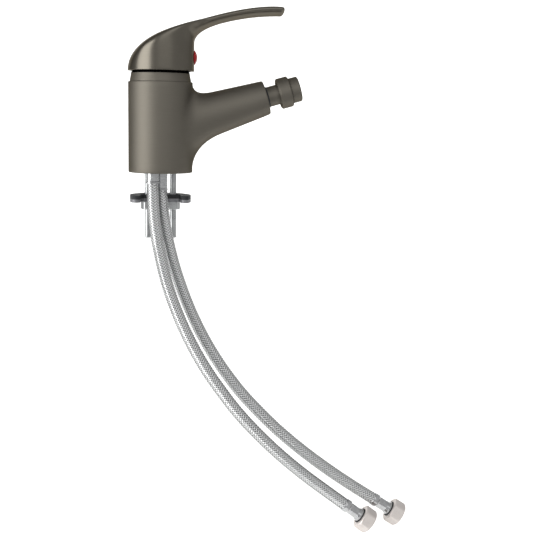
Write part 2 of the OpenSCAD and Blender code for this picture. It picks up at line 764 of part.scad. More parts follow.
module nozzle_tip() {
    tip_r = tip_d / 2;
    start = ball_at + 0.6;
    floor_angle = asin((pocket_floor - ball_at) / head_r);
    step_angle = asin(pocket_r * sin(pocket_to) / head_r);
    seat = pocket_floor + 0.8;
    color(graphite) on_spout_end() turned(concat(
        [[tip_thread_r, start], [tip_thread_r, cap_end - 0.4], [tip_r - 0.5, cap_end - 0.4],
            [tip_r - 0.5, cap_end + 0.6], [tip_r, cap_end + 0.6], [tip_r, tip_end - 0.8],
            [tip_r - 0.8, tip_end], [aerator_r, tip_end], [aerator_r, seat], [aerator_r - 2, seat],
            [aerator_r - 2, pocket_floor]],
        arc([0, ball_at], head_r, floor_angle, step_angle, 5),
        arc([0, ball_at], pocket_r, pocket_to, asin(0.6 / pocket_r), 4)
    ));
}

module aerator_gasket() {
    color(black_rubber) on_spout_end() translate([0, 0, pocket_floor + 0.8])
        tube(aerator_r - fit, aerator_r - 1.9, 1);
}

// Flow straightener: a cup with a ring of holes in its face
module aerator() {
    start = pocket_floor + 1.8;
    depth = tip_end - 0.4 - start;
    color(white_plastic) on_spout_end() translate([0, 0, start]) difference() {
        cylinder(r = aerator_r - fit, h = depth);
        translate([0, 0, -1]) cylinder(r = aerator_r - 1.6, h = depth - 0.5);
        for (ring = [1:3], k = [0:6 * ring - 1])
            rotate(60 * k / ring) translate([2 * ring, 0, 0]) cylinder(r = 0.6, h = depth + 1, $fn = 16);
        cylinder(r = 0.6, h = depth + 1, $fn = 16);
    }
}

module studs() {
    color(steel) for (side = [-1, 1])
        translate([side * stud_x, stud_y, stud_top - stud_len]) difference() {
            turned([[0, 0], [stud_d / 2 - 0.8, 0], [stud_d / 2, 0.8], [stud_d / 2, stud_len - 0.8],
                [stud_d / 2 - 0.8, stud_len], [0, stud_len]]);
            translate([-stud_d, -0.5, -1]) cube([2 * stud_d, 1, 2.5]);
        }
}

// Outline shared by the clamp plate and its pad: a horseshoe open toward the hoses
module horseshoe() {
    difference() {
        circle(r = plate_r);
        translate([-plate_d, -plate_d]) square([2 * plate_d, plate_d - arm_end]);
        translate([-arm_in, -plate_d]) square([2 * arm_in, plate_d - mouth_round]);
        translate([mouth_round - arm_in, -plate_d]) square([2 * (arm_in - mouth_round), plate_d]);
        translate([-notch_r, -1]) square([2 * notch_r, notch_end + 1]);
        translate([0, notch_end]) circle(r = notch_r);
        for (side = [-1, 1]) {
            translate([side * (arm_in - mouth_round), -mouth_round]) circle(r = mouth_round);
            translate([side * (stud_x + 1), slot_y]) {
                square([slot_len - slot_w, slot_w], center = true);
                for (end = [-1, 1])
                    translate([end * (slot_len - slot_w) / 2, 0]) circle(r = slot_w / 2);
            }
            difference() {
                translate([side * (notch_r + tab_round / 2), tab_round / 2])
                    square(tab_round + 0.02, center = true);
                translate([side * (notch_r + tab_round), tab_round]) circle(r = tab_round);
            }
        }
    }
    for (side = [-1, 1])
        translate([side * (arm_in + arm_tip_r), -arm_end]) circle(r = arm_tip_r);
}

module clamp_pad() {
    color(black_rubber) translate([0, plate_y, pad_z]) linear_extrude(pad_t) horseshoe();
}

module clamp_plate() {
    color(grey_steel) translate([0, plate_y, plate_z]) linear_extrude(plate_t) horseshoe();
}

module stud_nut(side) {
    color(steel) translate([side * stud_x, stud_y, stud_nut_z]) difference() {
        hex_blank(stud_nut_af, stud_nut_h);
        translate([0, 0, -1]) cylinder(r = stud_d / 2 + fit, h = stud_nut_h + 2);
    }
}

module left_stud_nut() {
    stud_nut(-1);
}

module right_stud_nut() {
    stud_nut(1);
}

// Threaded tails in the base, each with a collar against the base and a groove for its seal
module hose_tails() {
    groove = 1.2;
    color(brass) for (p = ports)
        translate([p.x, p.y, recess_depth]) turned([
            [inlet_r, -collar_t], [ferrule_r - 0.4, -collar_t], [ferrule_r - 0.4, 0], [tail_r, 0],
            [tail_r, tail_len - 3], [tail_r - groove, tail_len - 3], [tail_r - groove, tail_len - 1],
            [tail_r, tail_len - 1], [tail_r, tail_len], [inlet_r - 0.6, tail_len],
            [inlet_r - 0.6, -collar_t]
        ]);
}

module tail_seals() {
    color(black_rubber) for (p = ports)
        translate([p.x, p.y, recess_depth + tail_len - 3 + fit])
            tube(tail_r, tail_r - 1.2 + fit, 2 - 2 * fit);
}

// Crimped sleeves below the base, with a lip where the braid starts
module upper_ferrules() {
    top = recess_depth - collar_t;
    color(steel) for (k = [0:1])
        translate([ports[k].x, ports[k].y, ferrule_ends[k]]) turned([
            [0, 0], [ferrule_r + 0.25, 0], [ferrule_r + 0.25, 1], [ferrule_r, 1.5],
            [ferrule_r, top - ferrule_ends[k]], [0, top - ferrule_ends[k]]
        ]);
}

// Direction of a route at point i, the mean of the runs on either side
function heading(route, i) =
    let (last = len(route) - 1)
    i == 0 ? [0, 0, -1]
    : i == last ? unit(route[last] - route[last - 1])
    : unit(unit(route[i] - route[i - 1]) + unit(route[i + 1] - route[i]));

function hose_ring(route, i) =
    let (ahead = heading(route, i), across = unit(cross([0, 1, 0], ahead)), over = cross(ahead, across))
    [for (k = [0:hose_sides - 1]) let (a = 360 * k / hose_sides)
        route[i] + hose_r * (cos(a) * across + sin(a) * over)];

module hose(route) {
    color("#a9abad") loft([for (i = [0:len(route) - 1]) hose_ring(route, i)]);
}

module hot_hose() {
    hose(hot_route);
}

module cold_hose() {
    hose(cold_route);
}

// Places a child at the lower end of a hose, with Z along the hose
module on_hose_end(route) {
    last = len(route) - 1;
    along(route[last], heading(route, last)) children();
}

// Crimped sleeves at the lower ends: a bead, a waist and a flare
module lower_ferrules() {
    color(steel) for (route = routes)
        on_hose_end(route) turned([
            [0, 0], [ferrule_r, 0], [ferrule_r + 0.3, 0.8], [ferrule_r + 0.3, bead_len - 0.8],
            [ferrule_r - 0.3, bead_len], [ferrule_r - 0.5, bead_len + 0.6],
            [ferrule_r - 0.5, bead_len + sleeve_len], [ferrule_r + 0.6, nut_back - nut_gap - 1],
            [ferrule_r + 0.6, nut_back - nut_gap], [0, nut_back - nut_gap]
        ]);
}

// Tubes that carry the union nuts, with the flange that each nut pulls on
module union_tails() {
    start = nut_back - nut_gap;
    flange = nut_back + nut_wall + fit;
    color(brass) for (route = routes)
        on_hose_end(route) turned([
            [inlet_r, start], [ferrule_r, start], [ferrule_r, flange], [union_bore_d / 2 - room, flange],
            [union_bore_d / 2 - room, flange + tail_flange_t], [inlet_r, flange + tail_flange_t]
        ]);
}

// Nut with a throat for the tail, a relief for its flange and washer, and the thread at the mouth
module union_nut(route) {
    relief = tail_flange_t + washer_t + 2 * fit;
    color(nickel) on_hose_end(route) translate([0, 0, nut_back]) difference() {
        hex_blank(union_af, union_len);
        translate([0, 0, -1]) cylinder(r = union_throat_r, h = union_len);
        translate([0, 0, nut_wall]) cylinder(r = union_bore_d / 2 + room, h = relief);
        translate([0, 0, nut_wall + relief - 1]) cylinder(r = union_bore_d / 2, h = union_len);
    }
}

module hot_union_nut() {
    union_nut(hot_route);
}

module cold_union_nut() {
    union_nut(cold_route);
}

module union_washers() {
    color(black_rubber) for (route = routes)
        on_hose_end(route) translate([0, 0, nut_back + nut_wall + fit + tail_flange_t])
            tube(union_bore_d / 2 - room, inlet_r + 0.8, washer_t);
}

body();
base_gasket();
bonnet();
cartridge_nut();
cartridge_housing();
cartridge_base();
cartridge_seals();
fixed_disc();
moving_disc();
disc_carrier();
rotor();
stem_pin();
stem();
lever();
grub_screw();
index_hot();
index_cold();
swivel_adaptor();
adaptor_seal();
ball_liner();
nozzle_cap();
nozzle_tip();
aerator();
aerator_gasket();
studs();
clamp_pad();
clamp_plate();
left_stud_nut();
right_stud_nut();
hose_tails();
tail_seals();
upper_ferrules();
hot_hose();
cold_hose();
lower_ferrules();
union_tails();
hot_union_nut();
cold_union_nut();
union_washers();
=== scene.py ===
import bpy
import bmesh
import math
import numpy as np
from mathutils import Matrix, Vector


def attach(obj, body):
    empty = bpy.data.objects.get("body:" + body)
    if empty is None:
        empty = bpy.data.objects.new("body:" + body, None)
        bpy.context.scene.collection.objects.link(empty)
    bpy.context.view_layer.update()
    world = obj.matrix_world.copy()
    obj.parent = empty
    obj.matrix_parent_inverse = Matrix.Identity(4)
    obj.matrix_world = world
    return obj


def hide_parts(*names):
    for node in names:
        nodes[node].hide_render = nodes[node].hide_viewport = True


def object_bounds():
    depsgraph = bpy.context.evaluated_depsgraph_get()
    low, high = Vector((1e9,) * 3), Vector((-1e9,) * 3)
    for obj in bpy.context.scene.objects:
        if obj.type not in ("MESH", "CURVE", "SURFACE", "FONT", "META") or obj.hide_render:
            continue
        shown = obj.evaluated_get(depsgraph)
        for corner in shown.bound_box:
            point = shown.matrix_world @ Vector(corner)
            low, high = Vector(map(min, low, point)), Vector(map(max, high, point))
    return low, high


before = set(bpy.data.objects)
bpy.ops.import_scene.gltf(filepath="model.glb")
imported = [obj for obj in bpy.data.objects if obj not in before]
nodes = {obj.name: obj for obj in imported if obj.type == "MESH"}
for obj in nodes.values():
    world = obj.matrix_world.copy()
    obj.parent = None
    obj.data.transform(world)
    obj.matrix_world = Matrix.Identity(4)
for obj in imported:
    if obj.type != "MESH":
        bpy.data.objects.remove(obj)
cadBox = [list(corner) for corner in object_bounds()]
scene = bpy.context.scene
scene.view_settings.view_transform = "Standard"
mm = 0.001
print("frame loaded:", len(nodes), "nodes")


def linear(code):
    parts = [int(code[i:i + 2], 16) / 255 for i in (1, 3, 5)]
    return tuple(p / 12.92 if p <= 0.04045 else ((p + 0.055) / 1.055) ** 2.4 for p in parts) + (1.0,)


def addNode(tree, kind, settings=None, inputs=None):
    node = tree.nodes.new(kind)
    for key, value in (settings or {}).items():
        setattr(node, key, value)
    for key, value in (inputs or {}).items():
        if isinstance(value, bpy.types.NodeSocket):
            tree.links.new(value, node.inputs[key])
        else:
            node.inputs[key].default_value = value
    return node


# camera: the photograph's place and angle, in metres
cameraSettings = {
    "place": (0.0, -0.790, 0.045), "aim": (0.08812, 0.0, -0.07802), "clipEnd": 20,
    "roll": 0.984,  # degrees
    "lens": 66.24, "film": 36,  # mm
}


def makeCamera(s):
    data = bpy.data.cameras.new("photoCamera")
    data.lens, data.sensor_width, data.clip_end = s["lens"], s["film"], s["clipEnd"]
    place = Vector(s["place"])
    ahead = (Vector(s["aim"]) - place).normalized()
    right = ahead.cross(Vector((0, 0, 1))).normalized()
    up = right.cross(ahead)
    turn = math.radians(s["roll"])
    side = right * math.cos(turn) + up * math.sin(turn)
    top = up * math.cos(turn) - right * math.sin(turn)
    camera = bpy.data.objects.new("photoCamera", data)
    camera.matrix_world = Matrix.Translation(place) @ Matrix((side, top, -ahead)).transposed().to_4x4()
    scene.collection.objects.link(camera)
    scene.camera = camera


makeCamera(cameraSettings)
print("camera set")

# finishes: two colours that a fine grain mixes, a roughness range and a bump, all by real size in mm
finishSettings = {
    # satin-brushed brass under a dark vapour coat: soft wide highlights with a faint level grain
    "brushedGraphiteCoat": {
        "dark": "#6b675f", "light": "#716d65", "metallic": 1.0, "rough": (0.52, 0.58),
        "grain": (12, 12, 0.4), "bump": 0.0015, "cloud": 18, "cloudMix": 0.3, "edge": "#8a8680"},
    # the same coat over a finer polish, as on the lever
    "polishedGraphiteCoat": {
        "dark": "#625e56", "light": "#67635b", "metallic": 1.0, "rough": (0.28, 0.32),
        "grain": (9, 9, 0.4), "bump": 0.00004, "cloud": 20, "cloudMix": 0.5, "edge": "#b8b4ae"},
    # moulded EPDM: near black, matt, with a fine stipple from the mould
    "mouldedBlackRubber": {
        "dark": "#17191b", "light": "#24272a", "metallic": 0.0, "rough": (0.62, 0.78),
        "grain": (0.6, 0.6, 0.6), "bump": 0.03, "cloud": 9, "cloudMix": 0.35},
    # turned brass: warm yellow metal with level tool marks
    "turnedBrass": {
        "dark": "#a8843e", "light": "#c29c52", "metallic": 1.0, "rough": (0.28, 0.4),
        "grain": (8, 8, 0.3), "bump": 0.004, "cloud": 12, "cloudMix": 0.2},
    # moulded white acetal: waxy, faintly cloudy
    "mouldedWhiteAcetal": {
        "dark": "#d9d8d2", "light": "#e9e8e3", "metallic": 0.0, "rough": (0.34, 0.46),
        "grain": (1.2, 1.2, 1.2), "bump": 0.005, "cloud": 10, "cloudMix": 0.4},
    # glass-filled nylon: mid grey with short pale fibres near its skin
    "glassFilledNylon": {
        "dark": "#7d8083", "light": "#96999c", "metallic": 0.0, "rough": (0.45, 0.6),
        "grain": (0.4, 2.2, 0.4), "bump": 0.008, "cloud": 8, "cloudMix": 0.3},
    # lapped alumina: ivory, smooth and bright
    "lappedAlumina": {
        "dark": "#dcd8cc", "light": "#eeebe2", "metallic": 0.0, "rough": (0.1, 0.2),
        "grain": (0.5, 0.5, 0.5), "bump": 0.001, "cloud": 7, "cloudMix": 0.3},
    # bright zinc plate on rolled steel: cool, slightly clouded
    "brightZincPlate": {
        "dark": "#9a9c9d", "light": "#b9bbbb", "metallic": 1.0, "rough": (0.24, 0.4),
        "grain": (0.8, 0.8, 0.8), "bump": 0.004, "cloud": 5, "cloudMix": 0.45},
    # galvanised and tumbled plate: mottled mid grey, scuffed and dull
    "tumbledGreySteel": {
        "dark": "#6a6a6d", "light": "#8e8e91", "metallic": 0.75, "rough": (0.42, 0.66),
        "grain": (1.4, 1.4, 1.4), "bump": 0.03, "cloud": 4, "cloudMix": 0.7},
    # drawn stainless sleeve: bright, with fine marks round it from the press
    "drawnStainless": {
        "dark": "#a3a4a5", "light": "#c4c5c6", "metallic": 1.0, "rough": (0.16, 0.28),
        "grain": (5, 5, 0.4), "bump": 0.004, "cloud": 6, "cloudMix": 0.3},
    # satin nickel on brass: pale and a little warm
    "satinNickelPlate": {
        "dark": "#d0c9c5", "light": "#dcd5d1", "metallic": 0.5, "rough": (0.4, 0.5),
        "grain": (0.9, 0.9, 0.9), "bump": 0.003, "cloud": 6, "cloudMix": 0.3},
    # moulded red ABS button: glossy, deep colour
    "mouldedRedAbs": {
        "dark": "#9c1216", "light": "#b81a1c", "metallic": 0.0, "rough": (0.2, 0.3), "sheen": 0.2,
        "grain": (0.8, 0.8, 0.8), "bump": 0.002, "cloud": 4, "cloudMix": 0.4},
}
# the bonnet's coat with painted shade: above its shoulder the colour turns near black, for the shadow the
# lever's skirt casts there
finishSettings["graphiteCoatPaintedShade"] = dict(
    finishSettings["brushedGraphiteCoat"], paintedShadeAbove=76.2, paintedShadeEase=0.2, paintedShade="#0b0b0b")
# the same sleeve on a slanted hose end: its marks turn with it, by degrees
finishSettings["drawnStainlessSlant"] = dict(finishSettings["drawnStainless"], turn=124.6, bump=0.003)
# the button's cold half
finishSettings["mouldedBlueAbs"] = dict(finishSettings["mouldedRedAbs"], dark="#17438f", light="#2457ad")

# what every finish shares: how fine the noise is, and which part of it carries colour and roughness
noiseSettings = {
    "grain": (3.0, 0.55), "cloud": (2.0, 0.5),  # detail and roughness
    "colourSpan": (0.32, 0.68), "roughSpan": (0.3, 0.7),
}
finishes = {}


def newMaterial(name):
    material = bpy.data.materials.new(name)
    material.use_nodes = True
    material.node_tree.nodes.clear()
    finishes[name] = material
    return material.node_tree


def makeFinish(name, s, shared):
    tree = newMaterial(name)
    place = addNode(tree, "ShaderNodeTexCoord").outputs["Object"]
    grainMap = addNode(tree, "ShaderNodeMapping", {"vector_type": "TEXTURE"}, {
        "Vector": place, "Rotation": (0, math.radians(s.get("turn", 0)), 0),
        "Scale": tuple(g * mm for g in s["grain"])})
    grain = addNode(tree, "ShaderNodeTexNoise", inputs={
        "Vector": grainMap.outputs[0], "Scale": 1.0,
        "Detail": shared["grain"][0], "Roughness": shared["grain"][1]})
    cloud = addNode(tree, "ShaderNodeTexNoise", inputs={
        "Vector": place, "Scale": 1 / (s["cloud"] * mm),
        "Detail": shared["cloud"][0], "Roughness": shared["cloud"][1]})
    both = addNode(tree, "ShaderNodeMix", {"data_type": "FLOAT"}, {
        0: s["cloudMix"], 2: grain.outputs["Fac"], 3: cloud.outputs["Fac"]})
    ramp = addNode(tree, "ShaderNodeValToRGB", inputs={"Fac": both.outputs[0]})
    for stop, at, code in zip(ramp.color_ramp.elements, shared["colourSpan"], (s["dark"], s["light"])):
        stop.position, stop.color = at, linear(code)
    rough = addNode(tree, "ShaderNodeMapRange", inputs={
        "Value": both.outputs[0], "From Min": shared["roughSpan"][0], "From Max": shared["roughSpan"][1],
        "To Min": s["rough"][0], "To Max": s["rough"][1]})
    bump = addNode(tree, "ShaderNodeBump", inputs={
        "Height": grain.outputs["Fac"], "Strength": 1.0, "Distance": s["bump"] * mm})
    colour = ramp.outputs["Color"]
    # painted shade: near black above the given height, standing in for the shadow under the lever's skirt
    if "paintedShade" in s:
        spot = addNode(tree, "ShaderNodeSeparateXYZ", inputs={0: place})
        paintedShade = addNode(tree, "ShaderNodeMapRange", inputs={
            "Value": spot.outputs["Z"], "From Min": s["paintedShadeAbove"] * mm,
            "From Max": (s["paintedShadeAbove"] + s["paintedShadeEase"]) * mm})
        colour = addNode(tree, "ShaderNodeMix", {"data_type": "RGBA"}, {
            0: paintedShade.outputs["Result"], 6: colour, 7: linear(s["paintedShade"])}).outputs[2]
    shader = addNode(tree, "ShaderNodeBsdfPrincipled", inputs={
        "Base Color": colour, "Roughness": rough.outputs["Result"],
        "Normal": bump.outputs["Normal"], "Metallic": s["metallic"],
        "Specular IOR Level": s.get("sheen", 0.5), "Specular Tint": linear(s.get("edge", "#ffffff"))})
    addNode(tree, "ShaderNodeOutputMaterial", inputs={"Surface": shader.outputs[0]})


for finishName, finishValues in finishSettings.items():
    makeFinish(finishName, finishValues, noiseSettings)

# stainless wire braid: bright round wires side by side in each ribbon, with painted shade between the wires
# and towards each ribbon's edges;
# the wires are drawn coarser than the real 0.2 mm so that they show
braidFinish = {
    "wiresInRibbon": 4, "wire": "#e2e3e3", "gapShade": "#2f3033", "edge": "#6a6b6d", "span": (0.1, 0.42),
    "wireShare": 0.25, "rough": (0.3, 0.4), "scuff": 2.5, "bump": 0.04, "bumpShare": 0.6,
}


def makeBraidFinish(s, shared):
    tree = newMaterial("stainlessWireBraid")
    uv = addNode(tree, "ShaderNodeUVMap", {"uv_map": "braidUv"})
    parts = addNode(tree, "ShaderNodeSeparateXYZ", inputs={0: uv.outputs[0]})
    across = addNode(tree, "ShaderNodeMath", {"operation": "MULTIPLY"}, {
        0: parts.outputs["Y"], 1: s["wiresInRibbon"] * math.pi})
    wave = addNode(tree, "ShaderNodeMath", {"operation": "SINE"}, {0: across.outputs[0]})
    wires = addNode(tree, "ShaderNodeMath", {"operation": "ABSOLUTE"}, {0: wave.outputs[0]})
    # painted shade: the colour darkens towards both edges of each ribbon, and between the wires
    shadeTent = addNode(tree, "ShaderNodeMath", {"operation": "PINGPONG"}, {0: parts.outputs["Y"], 1: 0.5})
    scuff = addNode(tree, "ShaderNodeTexNoise", inputs={
        "Vector": addNode(tree, "ShaderNodeTexCoord").outputs["Object"],
        "Scale": 1 / (s["scuff"] * mm), "Detail": shared["cloud"][0]})
    mixed = addNode(tree, "ShaderNodeMix", {"data_type": "FLOAT"}, {
        0: s["wireShare"], 2: shadeTent.outputs[0], 3: wires.outputs[0]})
    ramp = addNode(tree, "ShaderNodeValToRGB", inputs={"Fac": mixed.outputs[0]})
    for stop, at, code in zip(ramp.color_ramp.elements, s["span"], (s["gapShade"], s["wire"])):
        stop.position, stop.color = at, linear(code)
    rough = addNode(tree, "ShaderNodeMapRange", inputs={
        "Value": scuff.outputs["Fac"], "From Min": shared["roughSpan"][0], "From Max": shared["roughSpan"][1],
        "To Min": s["rough"][0], "To Max": s["rough"][1]})
    bump = addNode(tree, "ShaderNodeBump", inputs={
        "Height": wires.outputs[0], "Strength": s["bumpShare"], "Distance": s["bump"] * mm})
    shader = addNode(tree, "ShaderNodeBsdfPrincipled", inputs={
        "Base Color": ramp.outputs["Color"], "Roughness": rough.outputs["Result"],
        "Normal": bump.outputs["Normal"], "Metallic": 1.0, "Specular Tint": linear(s["edge"])})
    addNode(tree, "ShaderNodeOutputMaterial", inputs={"Surface": shader.outputs[0]})


makeBraidFinish(braidFinish, noiseSettings)
print("finishes made:", len(finishes))


def bend(points, t):
    # the point at t on the line or curve that two to four points pull
    row = [np.array(p, float) for p in points]
    while len(row) > 1:
        row = [a + (b - a) * t for a, b in zip(row, row[1:])]
    return row[0]


def smoothLine(points, step, fineSteps=24):
    # a curve through given points, then even steps along it
    p = np.array(points, float)
    p = np.vstack([2 * p[0] - p[1], p, 2 * p[-1] - p[-2]])
    fine = []
    for a, b, c, d in zip(p, p[1:], p[2:], p[3:]):
        for t in np.linspace(0, 1, fineSteps, endpoint=False):
            fine.append(0.5 * (2 * b + (c - a) * t + (2 * a - 5 * b + 4 * c - d) * t ** 2
                               + (3 * b - a - 3 * c + d) * t ** 3))
    fine = np.array(fine + [p[-2]])
    run = np.concatenate([[0], np.cumsum(np.linalg.norm(np.diff(fine, axis=0), axis=1))])
    at = np.linspace(0, run[-1], max(2, int(round(run[-1] / step)) + 1))
    return np.stack([np.interp(at, run, fine[:, k]) for k in range(3)], axis=1), run[-1]


def placeMesh(name, mesh, body, sharp=35):
    piece = bpy.data.objects.new(name, mesh)
    scene.collection.objects.link(piece)
    for face in mesh.polygons:
        face.use_smooth = True
    mesh.set_sharp_from_angle(angle=math.radians(sharp))
    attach(piece, body)
    return piece


def growMesh(name, data, tree, values):
    # runs a node tree on a curve or on points, and keeps the result as a plain mesh
    host = bpy.data.objects.new(name + "Host", data)
    scene.collection.objects.link(host)
    modifier = host.modifiers.new(tree.name, "NODES")
    modifier.node_group = tree
    for item in tree.interface.items_tree:
        if item.item_type == "SOCKET" and item.in_out == "INPUT" and item.name in values:
            modifier[item.identifier] = values[item.name]
    view = bpy.context.evaluated_depsgraph_get()
    mesh = bpy.data.meshes.new_from_object(host.evaluated_get(view), depsgraph=view)
    mesh.name = name
    host.modifiers.clear()
    bpy.data.objects.remove(host)
    return mesh


def loftShell(name, rings, looped=False):
    # a skin over rings with equal counts, in mm: its ends are capped, or meet when it is looped
    mesh = bmesh.new()
    rows = [[mesh.verts.new(Vector(p) * mm) for p in ring] for ring in rings]
    n = len(rows[0])
    for a, b in zip(rows, rows[1:] + rows[:1] if looped else rows[1:]):
        for i in range(n):
            mesh.faces.new((a[i], a[(i + 1) % n], b[(i + 1) % n], b[i]))
    for row in () if looped else (rows[0], rows[-1]):
        middle = mesh.verts.new(sum((v.co for v in row), Vector()) / n)
        for i in range(n):
            mesh.faces.new((row[i], row[(i + 1) % n], middle))
    bmesh.ops.recalc_face_normals(mesh, faces=mesh.faces)
    data = bpy.data.meshes.new(name)
    mesh.to_mesh(data)
    mesh.free()
    return data


def turnedRings(profile, sides, least=0.02):
    # rings about the vertical axis from (radius, height) pairs; the least radius closes an end
    turns = np.linspace(0, 2 * math.pi, sides, endpoint=False)
    sized = [(max(r, least), z) for r, z in profile]
    return [[(r * math.cos(a), r * math.sin(a), z) for a in turns] for r, z in sized]


def joinMeshes(name, parts, material):
    whole = bmesh.new()
    for part in parts:
        whole.from_mesh(part)
        bpy.data.meshes.remove(part)
    data = bpy.data.meshes.new(name)
    whole.to_mesh(data)
    whole.free()
    data.materials.append(material)
    return data


# hoses: ribbons of wire wound both ways over a rubber core, two over and two under
hoseSettings = {
    "diameter": 9.6, "strands": 10, "lay": 21.5, "cover": 0.86, "lift": 0.22, "tuck": 0.36,
    "stepsPerCrossing": 2.0, "coreDrop": 0.62, "pathStep": 2.0,
    "hot": [
        [-6.2, -10, -8], [-5.5, -10.5, -27.5], [-3.5, -12, -46.5], [0, -14.2, -65.5], [4.5, -17, -84],
        [10.5, -20.2, -102], [18, -23.6, -120], [26.5, -26.9, -137], [36.3, -30.1, -153.5],
        [47.2, -33, -169], [59, -35.9, -184.2], [72, -38.5, -198.5], [85.7, -40.7, -212],
        [100, -42.4, -224.8], [115, -43.8, -237], [130.5, -44.8, -248.7], [146, -45.5, -260.2]],
    "cold": [
        [0.4, -1.6, -14], [2.3, -2.7, -33.5], [5.8, -4.4, -53], [10.5, -6.5, -72], [16.5, -9.2, -90.5],
        [23.6, -12.2, -108.5], [32, -15.4, -126], [41.6, -18.6, -142.7], [52.5, -21.7, -158.7],
        [64.6, -24.6, -174], [78, -27.2, -188.2], [92, -29.5, -201.8], [106.8, -31.5, -214.5],
        [122.2, -32.9, -226.6], [138.2, -34.1, -238.2], [154.5, -35.1, -249.2], [171, -36, -259.8]],
}


